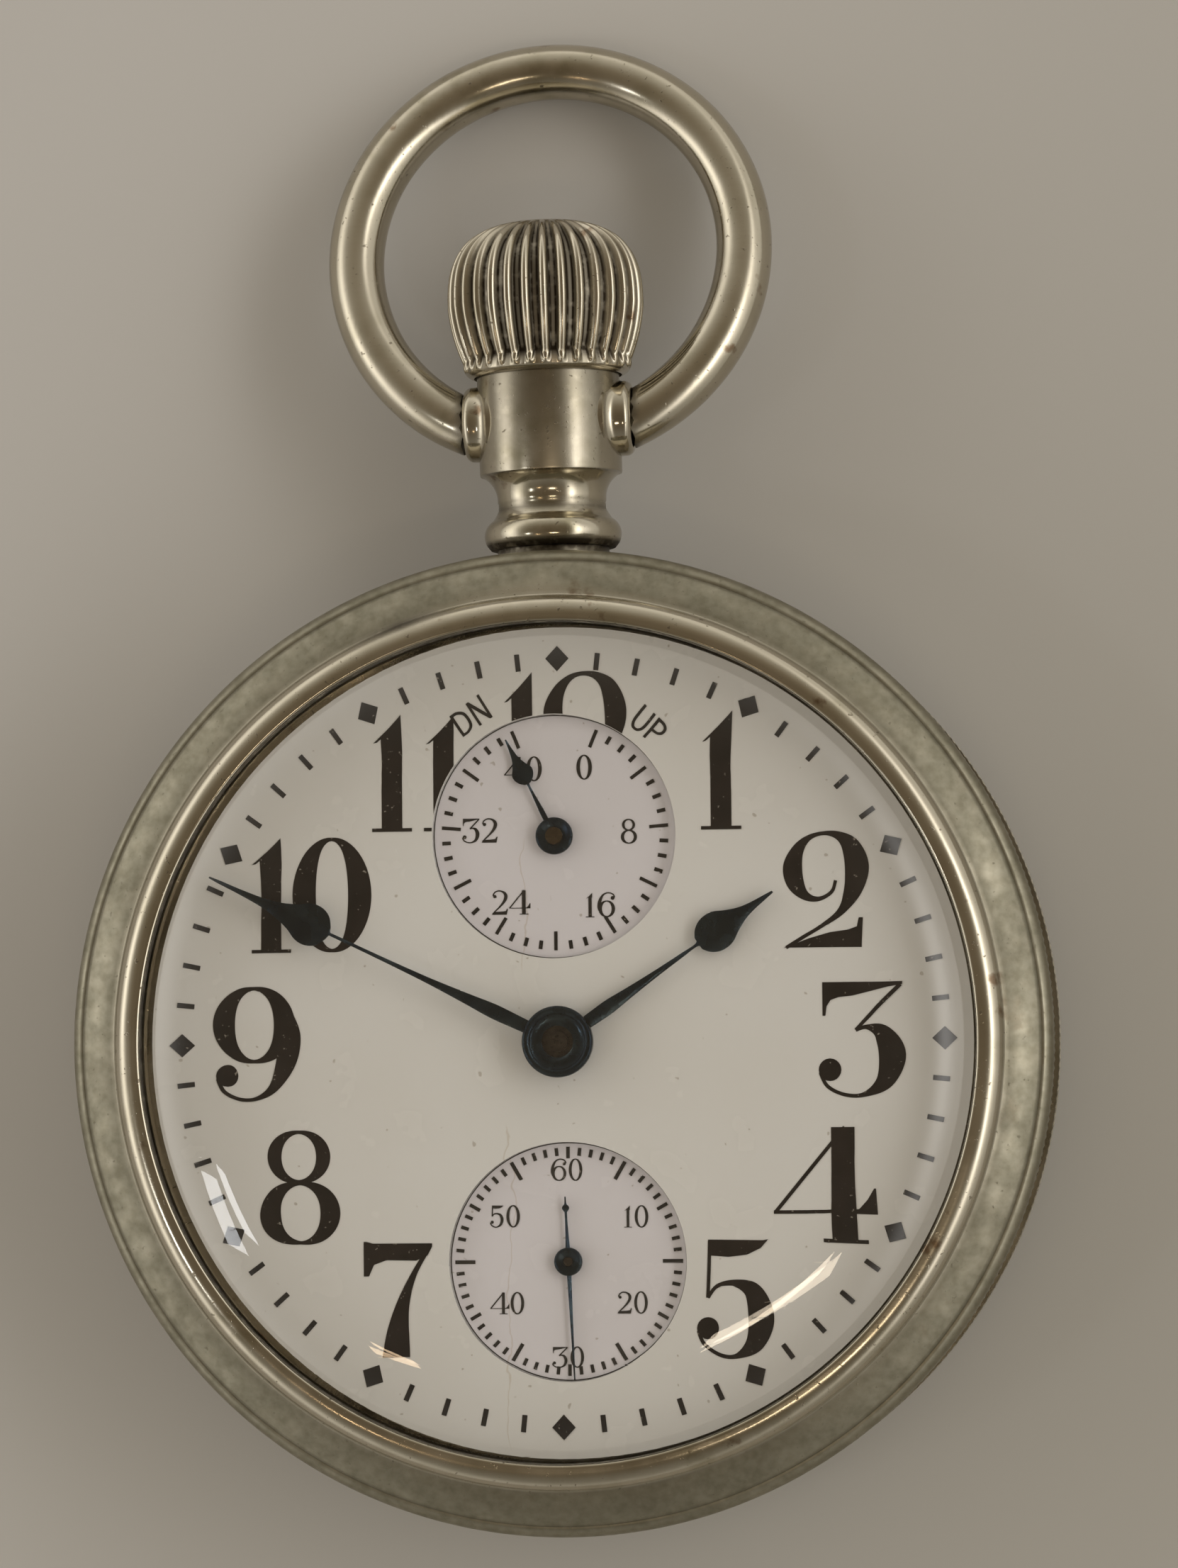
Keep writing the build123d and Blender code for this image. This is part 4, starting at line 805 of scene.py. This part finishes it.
FIGURES = {
    "0": (0.70, [("loop", (0.35, 0.5), (0.245, 0.485), 0.205)]),
    "1": (0.46, [
        stem(0.225, 0.18, 0.01, 0.81),
        ("flat", [(0.07, 0.765), (0.10, 0.772), (0.135, 0.80), (0.315, 0.80), (0.315, 1.0), (0.28, 0.962),
                  (0.20, 0.882)]),
        slab(0.05, 0.40, 0.0, 0.030)]),
    "2": (0.73, [
        ("stroke", [(0.46, 0.58, 0.030), (0.42, 0.478, 0.031), (0.305, 0.418, 0.040), (0.19, 0.448, 0.080),
                    (0.108, 0.555, 0.150), (0.084, 0.70, 0.165), (0.135, 0.85, 0.105), (0.23, 0.95, 0.050),
                    (0.35, 0.983, 0.034), (0.475, 0.955, 0.070), (0.575, 0.86, 0.145), (0.630, 0.68, 0.190),
                    (0.60, 0.48, 0.145), (0.50, 0.31, 0.065), (0.33, 0.185, 0.034), (0.16, 0.085, 0.032),
                    (0.02, 0.0, 0.03)]),
        ("flat", [(0.0, 0.0), (0.68, 0.0), (0.69, 0.257), (0.655, 0.257), (0.64, 0.180), (0.56, 0.152),
                  (0.40, 0.130), (0.22, 0.080), (0.10, 0.035)])]),
    "small 2": (0.70, [
        ("drop", (0.135, 0.745), 0.085),
        ("stroke", [(0.058, 0.77, 0.03), (0.12, 0.90, 0.032), (0.26, 0.972, 0.034), (0.42, 0.955, 0.06),
                    (0.55, 0.86, 0.15), (0.585, 0.71, 0.19), (0.50, 0.52, 0.13), (0.33, 0.32, 0.06),
                    (0.16, 0.16, 0.034), (0.04, 0.04, 0.03)]),
        ("flat", [(0.0, 0.0), (0.62, 0.0), (0.67, 0.24), (0.63, 0.24), (0.58, 0.15), (0.40, 0.13),
                  (0.16, 0.12)])]),
    "3": (0.79, [
        ("flat", [(0.06, 0.99), (0.735, 0.99), (0.735, 0.965), (0.62, 0.945), (0.48, 0.91), (0.32, 0.872),
                  (0.20, 0.86), (0.13, 0.835), (0.095, 0.78), (0.085, 0.70), (0.06, 0.70)]),
        ("stroke", [(0.72, 0.965, 0.034), (0.52, 0.755, 0.034), (0.345, 0.575, 0.03)]),
        ("stroke", [(0.345, 0.575, 0.032), (0.45, 0.60, 0.045), (0.58, 0.545, 0.15), (0.655, 0.36, 0.215),
                    (0.59, 0.13, 0.14), (0.42, 0.02, 0.045), (0.25, 0.018, 0.032), (0.10, 0.09, 0.032),
                    (0.035, 0.21, 0.03)]),
        ("drop", (0.12, 0.235), 0.098)]),
    "4": (0.86, [
        ("stroke", [(0.62, 0.99, 0.032), (0.32, 0.63, 0.032), (0.015, 0.262, 0.032)]),
        stem(0.605, 0.205, 0.01, 0.99),
        ("flat", [(0.0, 0.247), (0.875, 0.247), (0.87, 0.465), (0.855, 0.465), (0.80, 0.37), (0.73, 0.29),
                  (0.66, 0.278), (0.0, 0.278)]),
        slab(0.43, 0.79, 0.0, 0.032)]),
    "5": (0.70, [
        ("flat", [(0.125, 1.0), (0.155, 1.0), (0.60, 0.992), (0.645, 1.0), (0.58, 0.925), (0.46, 0.868),
                  (0.30, 0.850), (0.155, 0.862), (0.125, 0.862)]),
        ("stroke", [(0.138, 0.99, 0.028), (0.130, 0.75, 0.028), (0.118, 0.50, 0.028)]),
        ("stroke", [(0.118, 0.50, 0.03), (0.20, 0.60, 0.034), (0.35, 0.625, 0.06), (0.51, 0.55, 0.155),
                    (0.575, 0.345, 0.215), (0.51, 0.13, 0.15), (0.36, 0.02, 0.045), (0.22, 0.018, 0.032),
                    (0.085, 0.10, 0.032), (0.035, 0.21, 0.03)]),
        ("drop", (0.118, 0.235), 0.096)]),
    "7": (0.62, [
        ("flat", [(0.0, 1.0), (0.03, 1.0), (0.08, 0.985), (0.60, 0.985), (0.60, 0.955), (0.56, 0.88),
                  (0.46, 0.835), (0.20, 0.84), (0.09, 0.80), (0.045, 0.70), (0.0, 0.70)]),
        ("stroke", [(0.585, 0.965, 0.034), (0.44, 0.72, 0.05), (0.345, 0.47, 0.11), (0.295, 0.22, 0.19),
                    (0.285, 0.01, 0.235)])]),
    "8": (0.75, [("loop", (0.365, 0.765), (0.215, 0.215), 0.125),
                 ("loop", (0.375, 0.275), (0.265, 0.260), 0.175)]),
    "9": (0.80, [
        ("loop", (0.370, 0.665), (0.268, 0.318), 0.185),
        ("stroke", [(0.66, 0.74, 0.12), (0.685, 0.56, 0.19), (0.65, 0.34, 0.175), (0.54, 0.12, 0.085),
                    (0.39, 0.024, 0.036), (0.23, 0.02, 0.032), (0.10, 0.085, 0.032), (0.045, 0.20, 0.03)]),
        ("drop", (0.128, 0.225), 0.096)]),
    "U": (0.62, [
        ("stroke", [(0.06, 0.99, 0.12), (0.06, 0.35, 0.12), (0.16, 0.10, 0.12), (0.31, 0.04, 0.12),
                    (0.46, 0.10, 0.12), (0.56, 0.35, 0.12), (0.56, 0.99, 0.12)])]),
    "P": (0.58, [
        stem(0.06, 0.12),
        ("stroke", [(0.06, 0.94, 0.11), (0.34, 0.93, 0.11), (0.50, 0.82, 0.12), (0.50, 0.62, 0.12),
                    (0.34, 0.49, 0.11), (0.06, 0.48, 0.11)])]),
    "D": (0.66, [
        stem(0.06, 0.12),
        ("stroke", [(0.06, 0.94, 0.11), (0.32, 0.92, 0.11), (0.56, 0.72, 0.12), (0.56, 0.28, 0.12),
                    (0.32, 0.08, 0.11), (0.06, 0.06, 0.11)])]),
    "N": (0.68, [
        stem(0.06, 0.11),
        ("stroke", [(0.08, 0.96, 0.13), (0.33, 0.5, 0.13), (0.58, 0.04, 0.13)]),
        stem(0.60, 0.11)]),
}
nine_width, nine_marks = FIGURES["9"]


def half_turn(mark):
    """The same mark after a half turn of the nine, which makes the six."""
    kind, *rest = mark
    if kind == "stroke":
        return kind, [(nine_width - x, 1 - y, w) for x, y, w in rest[0]]
    return kind, (nine_width - rest[0][0], 1 - rest[0][1]), *rest[1:]


FIGURES["6"] = (nine_width, [half_turn(mark) for mark in nine_marks])


# %% From strokes to flat faces
HAIR = 0.030


def smooth_line(points, steps=7):
    """Catmull-Rom curve through the points, width included."""
    ends = [points[0]] + list(points) + [points[-1]]
    line = []
    for stops in zip(ends, ends[1:], ends[2:], ends[3:]):
        for k in range(steps):
            t = k / steps
            line.append(tuple(0.5 * (2 * q + (r - p) * t + (2 * p - 5 * q + 4 * r - s) * t**2
                                     + (3 * q - p - 3 * r + s) * t**3) for p, q, r, s in zip(*stops)))
    return line + [tuple(points[-1])]


def ribbon(line, closed=False):
    """Left and right edge points along a line of (x, y, width), as one strip of quads."""
    corners, faces, count = [], [], len(line)
    for k, (x, y, w) in enumerate(line):
        before = line[k - 1] if k or closed else line[k]
        after = line[(k + 1) % count] if k + 1 < count or closed else line[k]
        dx, dy = after[0] - before[0], after[1] - before[1]
        size = math.hypot(dx, dy) or 1
        nx, ny = -dy / size * w / 2, dx / size * w / 2
        corners += [(x - nx, y - ny), (x + nx, y + ny)]
    for k in range(count if closed else count - 1):
        n = (k + 1) % count
        faces.append((2 * k, 2 * n, 2 * n + 1, 2 * k + 1))
    return corners, faces


def round_points(centre, radii, steps):
    """Points round an ellipse, each with its angle."""
    turns = [math.tau * k / steps for k in range(steps)]
    return [(centre[0] + radii[0] * math.cos(t), centre[1] + radii[1] * math.sin(t), t) for t in turns]


def oval(centre, radii, thick, thin):
    """A ring whose sides are thick and whose top and bottom are hair-thin."""
    return [(x, y, thin + (thick - thin) * abs(math.cos(turn)) ** 1.5)
            for x, y, turn in round_points(centre, radii, steps=56)]


def figure_at(letter, boldness):
    """Width and marks of a letter; lighter sets have a plain two with a round drop."""
    return FIGURES["small 2" if letter == "2" and boldness < 1 else letter]


def drawn(letter, boldness):
    """All flat shapes of one figure: (points, faces) with strokes made lighter by boldness."""
    shapes = []
    thin = HAIR * (1 + 1.5 * (1 - boldness))
    for kind, *rest in figure_at(letter, boldness)[1]:
        if kind == "stroke":
            line = smooth_line([(x, y, thin + max(0.0, w - HAIR) * boldness) for x, y, w in rest[0]])
            shapes.append(ribbon(line))
        elif kind == "loop":
            centre, radii, thick = rest
            shapes.append(ribbon(oval(centre, radii, thin + (thick - HAIR) * boldness, thin), closed=True))
        elif kind == "drop":
            centre, radius = rest
            radius *= 0.55 + 0.45 * boldness
            ring = [(x, y) for x, y, _ in round_points(centre, (radius, radius), steps=20)]
            shapes.append((ring, [tuple(range(20))]))
        else:
            points = rest[0]
            area = sum(a[0] * b[1] - b[0] * a[1] for a, b in zip(points, points[1:] + points[:1]))
            order = tuple(range(len(points)))
            shapes.append((points, [order if area > 0 else order[::-1]]))
    return shapes


# %% Printing on a dial
DIAL_TURN = -math.radians(1.37)  # old dials sit a little turned in their cases


def outwards(clock):
    """Unit vectors out from the middle and across, for an angle in degrees from the twelve."""
    sin, cos = math.sin(math.radians(clock)), math.cos(math.radians(clock))
    return (sin, cos), (cos, -sin)


class Print:
    """Collects flat shapes of one colour on one dial, then makes them a thin raised film.

    Places are given from the dial's own centre.
    """

    def __init__(self, height, centre=(0.0, 0.0)):
        self.height, self.centre, self.layer = height, centre, 0
        self.points, self.faces = [], []

    def shape(self, corners, faces=((0, 1, 2, 3),)):
        """Neighbours lie a little higher than one another, so that no two faces coincide."""
        base = len(self.points)
        self.layer = (self.layer + 1) % 4
        height = self.height + 0.004 * self.layer
        self.points += [(self.centre[0] + x, self.centre[1] + y, height) for x, y in corners]
        self.faces += [tuple(base + k for k in face) for face in faces]

    def words(self, text, middle, size, boldness=1.0, tilt=0.0, gap=-0.045):
        """Letters size mm high round a middle; gap is in parts of that height."""
        widths = [figure_at(letter, boldness)[0] for letter in text]
        start = -(sum(widths) + gap * (len(text) - 1)) / 2
        cos, sin = math.cos(tilt), math.sin(tilt)
        for letter, width in zip(text, widths):
            for corners, faces in drawn(letter, boldness):
                placed = [((start + x) * size, (y - 0.5) * size) for x, y in corners]
                self.shape([(middle[0] + x * cos - y * sin, middle[1] + x * sin + y * cos)
                            for x, y in placed], faces)
            start += width + gap

    def mark(self, clock, inner, outer, width):
        """A radial dash at an angle measured clockwise from the top, in degrees."""
        out, side = outwards(clock)
        ends = [(inner, -width / 2), (inner, width / 2), (outer, width / 2), (outer, -width / 2)]
        self.shape([(r * out[0] + s * side[0], r * out[1] + s * side[1]) for r, s in ends])

    def diamond(self, clock, radius, half):
        out, side = outwards(clock)
        tips = [(radius - half, 0), (radius, half), (radius + half, 0), (radius, -half)]
        self.shape([(r * out[0] + s * side[0], r * out[1] + s * side[1]) for r, s in tips])

    def ring(self, radius, width):
        line = [(x, y, width) for x, y, _ in round_points((0, 0), (radius, radius), steps=160)]
        self.shape(*ribbon(line, closed=True))

    def film(self, name, material, slot, thickness=0.02):
        piece = piece_from(name, self.points, faces=self.faces)
        up = {"value": (0, 0, thickness * MM)}
        reshape(lambda: bpy.ops.mesh.extrude_region_move(TRANSFORM_OT_translate=up))
        place = Matrix.Translation(Vector((*self.centre, 0)) * MM)
        piece.data.transform(place @ Matrix.Rotation(DIAL_TURN, 4, "Z") @ place.inverted())
        return finished(piece, "case", material, slot)


# %% Hours and minutes
UPPER, LOWER = (0.0, 11.92), (0.0, -12.68)
TALL = 6.66
HOURS = {"1": (9.49, 15.47), "2": (15.43, 8.60), "3": (17.42, 0.0), "4": (15.12, -8.32), "5": (9.95, -14.78),
         "7": (-9.50, -14.78), "8": (-15.26, -8.28), "9": (-17.70, 0.05), "10": (-14.65, 8.65)}
hours = Print(DIAL_TOP)
for text, place in HOURS.items():
    hours.words(text, place, TALL)
for minute in range(60):
    if minute % 5:
        hours.mark(minute * 6, 21.36, 22.26, 0.29)
    else:
        hours.diamond(minute * 6, 21.90, 0.67)
hours.film("hour_print", numeral_ink, "dial_enamel")

# %% [markdown]
# Eleven and twelve are cut off by the winding indicator's sunk dial, so they are printed as a
# film of their own, and a round cutter takes away what would hang over the opening.

# %% Cut numerals
cut = Print(DIAL_TOP)
cut.words("11", (-8.16, 15.60), TALL, gap=-0.005)
cut.words("12", (0.25, 17.88), TALL)
cut_film = cut.film("cut_numerals", numeral_ink, "dial_enamel")
bpy.ops.object.select_all(action="DESELECT")
bpy.ops.mesh.primitive_cylinder_add(vertices=256, radius=7.12 * MM, depth=2 * MM,
                                    location=Vector((*UPPER, DIAL_TOP)) * MM)
cutter = bpy.context.object
only(cut_film)
opening = cut_film.modifiers.new("opening", "BOOLEAN")
opening.operation, opening.object, opening.solver, opening.use_self = "DIFFERENCE", cutter, "EXACT", True
bpy.ops.object.modifier_apply(modifier="opening")
bpy.data.objects.remove(cutter)

# %% Winding indicator's scale
RESERVE = {"0": (1.74, 3.97), "8": (4.31, 0.22), "16": (2.60, -4.02), "24": (-2.61, -3.81),
           "32": (-4.38, 0.38), "40": (-1.81, 3.92)}
reserve = Print(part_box("indicator_dial")[1].z / MM, UPPER)
for hour in range(41):
    if hour % 4:
        reserve.mark(22 + 7.9 * hour, 6.10, 6.60, 0.22)
    else:
        reserve.mark(22 + 7.9 * hour, 5.52, 6.62, 0.20)
for text, place in RESERVE.items():
    reserve.words(text, place, 1.42, boldness=0.58, gap=0.02)
# A thin dark ring at the sunk dial's edge: painted shade in the gap at its joint, with dirt.
reserve.ring(7.06, 0.05)
reserve.film("indicator_print", scale_ink, "subdial_enamel")

words = Print(DIAL_TOP, UPPER)
for text, clock in (("UP", 41.7), ("DN", -34.1)):
    out, _ = outwards(clock)
    words.words(text, (8.45 * out[0], 8.45 * out[1]), 1.42, tilt=-math.radians(clock), gap=0.16)
words.film("up_down_print", scale_ink, "dial_enamel")

# %% Seconds scale
SECONDS = {"60": (-0.10, 5.29), "10": (3.92, 2.57), "20": (3.69, -2.38), "30": (-0.09, -5.53),
           "40": (-3.59, -2.38), "50": (-3.69, 2.63)}
seconds = Print(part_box("seconds_dial")[1].z / MM, LOWER)
for second in range(60):
    if second % 10 == 5:
        seconds.mark(second * 6, 5.45, 6.62, 0.22)
    elif second % 5 == 0:
        seconds.mark(second * 6, 5.95, 6.62, 0.20)
    else:
        seconds.mark(second * 6, 6.12, 6.58, 0.20)
for text, place in SECONDS.items():
    seconds.words(text, place, 1.26, boldness=0.45, gap=0.04)
# A thin dark ring at the sunk dial's edge: painted shade in the gap at its joint, with dirt.
seconds.ring(6.85, 0.06)
seconds.film("seconds_print", seconds_ink, "subdial_enamel")

# %% [markdown]
# ## Hands
# Spade hands are filed from steel sheet, rounded on top and blued by heat. Each is laid out
# along its length as stations (distance from the centre, half width); five points per station
# give a flat underside, two low shoulders and a raised ridge that catches the light.

# %% Filing a hand
def hand_blade(name, clock, low, high, stations, centre=(0, 0)):
    """A blade from height low to high that points at clock, in degrees from the twelve."""
    line = smooth_line([(distance, 0.0, half) for distance, half in stations], steps=8)
    widest = max(half for _, half in stations)
    points, faces = [], []
    for distance, _, half in line:
        half = max(half, 0.03)
        shoulder = high - (high - low) * 0.55 * min(1, 0.45 + half / widest)
        points += [(-half, distance, low), (-half, distance, shoulder), (0, distance, high),
                   (half, distance, shoulder), (half, distance, low)]
    last = len(line) - 1
    for k in range(last):
        a, b = 5 * k, 5 * k + 5
        for side in range(5):
            faces.append((a + side, a + (side + 1) % 5, b + (side + 1) % 5, b + side))
    faces += [tuple(range(5))[::-1], tuple(5 * last + k for k in range(5))]
    turn = -math.radians(clock)
    cos, sin = math.cos(turn), math.sin(turn)
    placed = [(centre[0] + x * cos - y * sin, centre[1] + x * sin + y * cos, z) for x, y, z in points]
    blade = piece_from(name, placed, faces=faces)
    reshape()
    smoothed(50)
    return blade


def boss(name, section, centre=(0, 0)):
    """The turned hub of a hand."""
    piece = turned(name, section, steps=96, smooth=30)
    piece.data.transform(Matrix.Translation(Vector((*centre, 0)) * MM))
    return piece


def hand(blade, hub, body, node):
    finished(joined(blade, hub), body, blued, "blued_steel", node)


# %% The four hands
blade = hand_blade("hour_hand_blued", 57.0, 12.86, 13.1, [
    (1.5, 0.36), (2.6, 0.40), (3.6, 0.41), (5.0, 0.30), (6.8, 0.19), (8.6, 0.12), (9.72, 0.10),
    (9.86, 0.42), (10.15, 0.80), (10.6, 1.06), (11.1, 1.13), (11.6, 1.03), (12.2, 0.70),
    (12.9, 0.40), (13.6, 0.24), (14.4, 0.14), (15.05, 0.06)])
hub = boss("hub", profile((1.18, 12.86), (1.98, 12.86), (1.98, 12.98), (1.90, 13.08), (1.18, 13.08)))
hand(blade, hub, "hour_tube", "hour_hand")

blade = hand_blade("minute_hand_blued", 297.0, 13.52, 13.75, [
    (1.6, 0.36), (2.8, 0.40), (4.2, 0.42), (6.0, 0.30), (8.5, 0.17), (11.5, 0.11), (14.4, 0.09),
    (14.68, 0.09), (14.82, 0.42), (15.1, 0.86), (15.5, 1.13), (16.0, 1.22), (16.5, 1.11),
    (17.1, 0.78), (18.0, 0.46), (19.0, 0.27), (20.4, 0.15), (21.6, 0.10), (22.25, 0.05)])
hub = boss("collar", profile((0.92, 13.52), (2.05, 13.52), (2.05, 13.86), ((1.99, 14.08), (1.84, 14.13)),
                             ((1.70, 14.10), (1.58, 13.98)), (1.42, 13.90), (1.12, 13.88), (0.92, 13.92)))
hand(blade, hub, "minute_arbor", "minute_hand")

blade = hand_blade("seconds_hand_blued", 178.8, 11.96, 12.08, [
    (-3.75, 0.04), (-3.35, 0.06), (-3.22, 0.16), (-3.08, 0.21), (-2.92, 0.13), (-2.75, 0.07),
    (-1.6, 0.09), (0.0, 0.16), (1.2, 0.12), (4.0, 0.075), (6.82, 0.04)], LOWER)
hub = boss("pipe", profile((0.30, 11.96), (0.82, 11.96), (0.82, 12.12), ((0.76, 12.24), (0.62, 12.28)),
                           (0.42, 12.20), (0.30, 12.20)), LOWER)
hand(blade, hub, "seconds_arbor", "seconds_hand")

blade = hand_blade("indicator_hand_blued", 334.8, 11.96, 12.08, [
    (0.7, 0.14), (1.5, 0.15), (2.4, 0.10), (3.3, 0.07), (3.42, 0.20), (3.62, 0.44), (3.9, 0.60),
    (4.2, 0.62), (4.55, 0.42), (5.0, 0.22), (5.6, 0.11), (6.28, 0.04)], UPPER)
hub = boss("pipe", profile((0.45, 11.96), (1.08, 11.96), (1.08, 12.18), ((1.02, 12.30), (0.88, 12.33)),
                           (0.66, 12.22), (0.45, 12.22)), UPPER)
hand(blade, hub, "indicator", "indicator_hand")

# %% [markdown]
# ## The works
# The movement keeps its solids, because their places and fits are exact. What they need is
# metal: bright nickel for plates and bridges, brass for wheels, gilt for the barrel, polished
# steel for winding parts, blued steel for screws and springs, ruby for the jewels.

# %% Metals of the works
def damaskeened():
    """Nickel plate with the wavy ripple that a rose engine grinds into its top."""
    material, shader = finish("plate_nickel", Metallic=1.0)
    place = add(material, "TexCoord").outputs["Object"]
    slanted = add(material, "Mapping", {"Vector": place, "Rotation": (0, 0, 0.6)}).outputs[0]
    waves = {"Vector": slanted, "Scale": 170.0, "Distortion": 5.0, "Detail": 1.0, "Detail Scale": 40.0}
    ripple = add(material, "TexWave", waves, wave_type="BANDS", wave_profile="SIN").outputs["Fac"]
    circles = {"Vector": place, "Scale": 210.0, "Distortion": 1.0, "Detail": 0.0}
    rings = add(material, "TexWave", circles, wave_type="RINGS", rings_direction="Z").outputs["Fac"]
    both = sums(material, "MULTIPLY", ripple, band(material, rings, 0.2, 0.8, 0.6, 1.0))
    clouds = band(material, grain(material, 4.0, detail=4), 0.35, 0.7)
    colour = mixed(material, both, (0.62, 0.60, 0.55), (0.80, 0.78, 0.73))
    colour = mixed(material, sums(material, "MULTIPLY", clouds, 0.35), colour, (0.52, 0.47, 0.37))
    surfaced(material, colour, band(material, both, 0, 1, 0.34, 0.18))
    bumped(material, shader, (both, 0.25, 0.02),
           (grain(material, 0.15, stretch=(0.1, 1, 1)), 0.12, 0.01))
    return material


metals = {
    "plate": damaskeened(),
    "brass": steel("wheel_brass", (0.73, 0.53, 0.24), (0.60, 0.41, 0.17), (0.2, 0.34), size=1.2),
    "gilt": steel("gilt", (0.80, 0.60, 0.28), (0.68, 0.47, 0.20), (0.28, 0.42), size=2.0),
    "steel": steel("polished_steel", (0.60, 0.60, 0.59), (0.47, 0.46, 0.44), (0.14, 0.26), size=1.0),
    "blued": steel("blued_screws", (0.05, 0.09, 0.27), (0.09, 0.14, 0.36), (0.14, 0.26), size=0.7),
    "pivot": steel("arbor_steel", (0.075, 0.062, 0.05), (0.045, 0.037, 0.03), (0.22, 0.40), size=0.4),
    "case": case_nickel,
    "dial": dial_enamel,
    "sunk_dial": subdial_enamel,
}

# The ends of the arbors that stand through the hands have gone brown in the open air.
for name in ("brass", "steel"):
    metal = metals[name]
    shader = metal.node_tree.nodes["Principled BSDF"]
    place = add(metal, "TexCoord").outputs["Object"]
    height = add(metal, "SeparateXYZ", {"Vector": place}).outputs["Z"]
    aired = band(metal, height, 12.05 * MM, 12.15 * MM, 0.0, 0.92)
    browned = mixed(metal, aired, under(metal, "Base Color"), (0.060, 0.045, 0.033))
    link(metal, browned, shader.inputs["Base Color"])

ruby, _ = finish("ruby", Transmission_Weight=0.35, IOR=1.76, Coat_Weight=0.4)
glow = band(ruby, grain(ruby, 0.4, detail=2), 0.3, 0.7)
surfaced(ruby, mixed(ruby, glow, (0.55, 0.03, 0.07), (0.75, 0.08, 0.12)), band(ruby, glow, 0, 1, 0.05, 0.12))
metals["ruby"] = ruby

# %% Which metal goes where
METAL_OF = {
    "plate": "pillar_plate train_plate barrel_bridge balance_cock pallet_bridge pillars",
    "brass": "center_wheel third_wheel fourth_wheel hour_wheel minute_wheel idler_wheel "
             "indicator_wheel pendant_sleeve",
    "gilt": "mainspring_barrel barrel_cover balance_wheel balance_screws jewel_settings",
    "steel": "ratchet_wheel crown_wheel click regulator escape_wheel pallet_fork winding_stem "
             "winding_pinion setting_lever barrel_arbor hairspring_stud third_pinion "
             "fourth_pinion escape_pinion balance_staff click_spring",
    "pivot": "center_pinion cannon_pinion",
    "blued": "plate_screws cock_screws case_screws dial_screws ratchet_screw hairspring mainspring",
    "ruby": "jewels pallet_stones",
    "dial": "dial",
    "sunk_dial": "seconds_dial indicator_dial",
    "case": "case_band",
}
for metal, names in METAL_OF.items():
    for name in names.split():
        wears(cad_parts[name], metals[metal])
shown = [name for name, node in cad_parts.items() if not node.hide_render]
print(f"{len(shown)} solids keep their own shape")
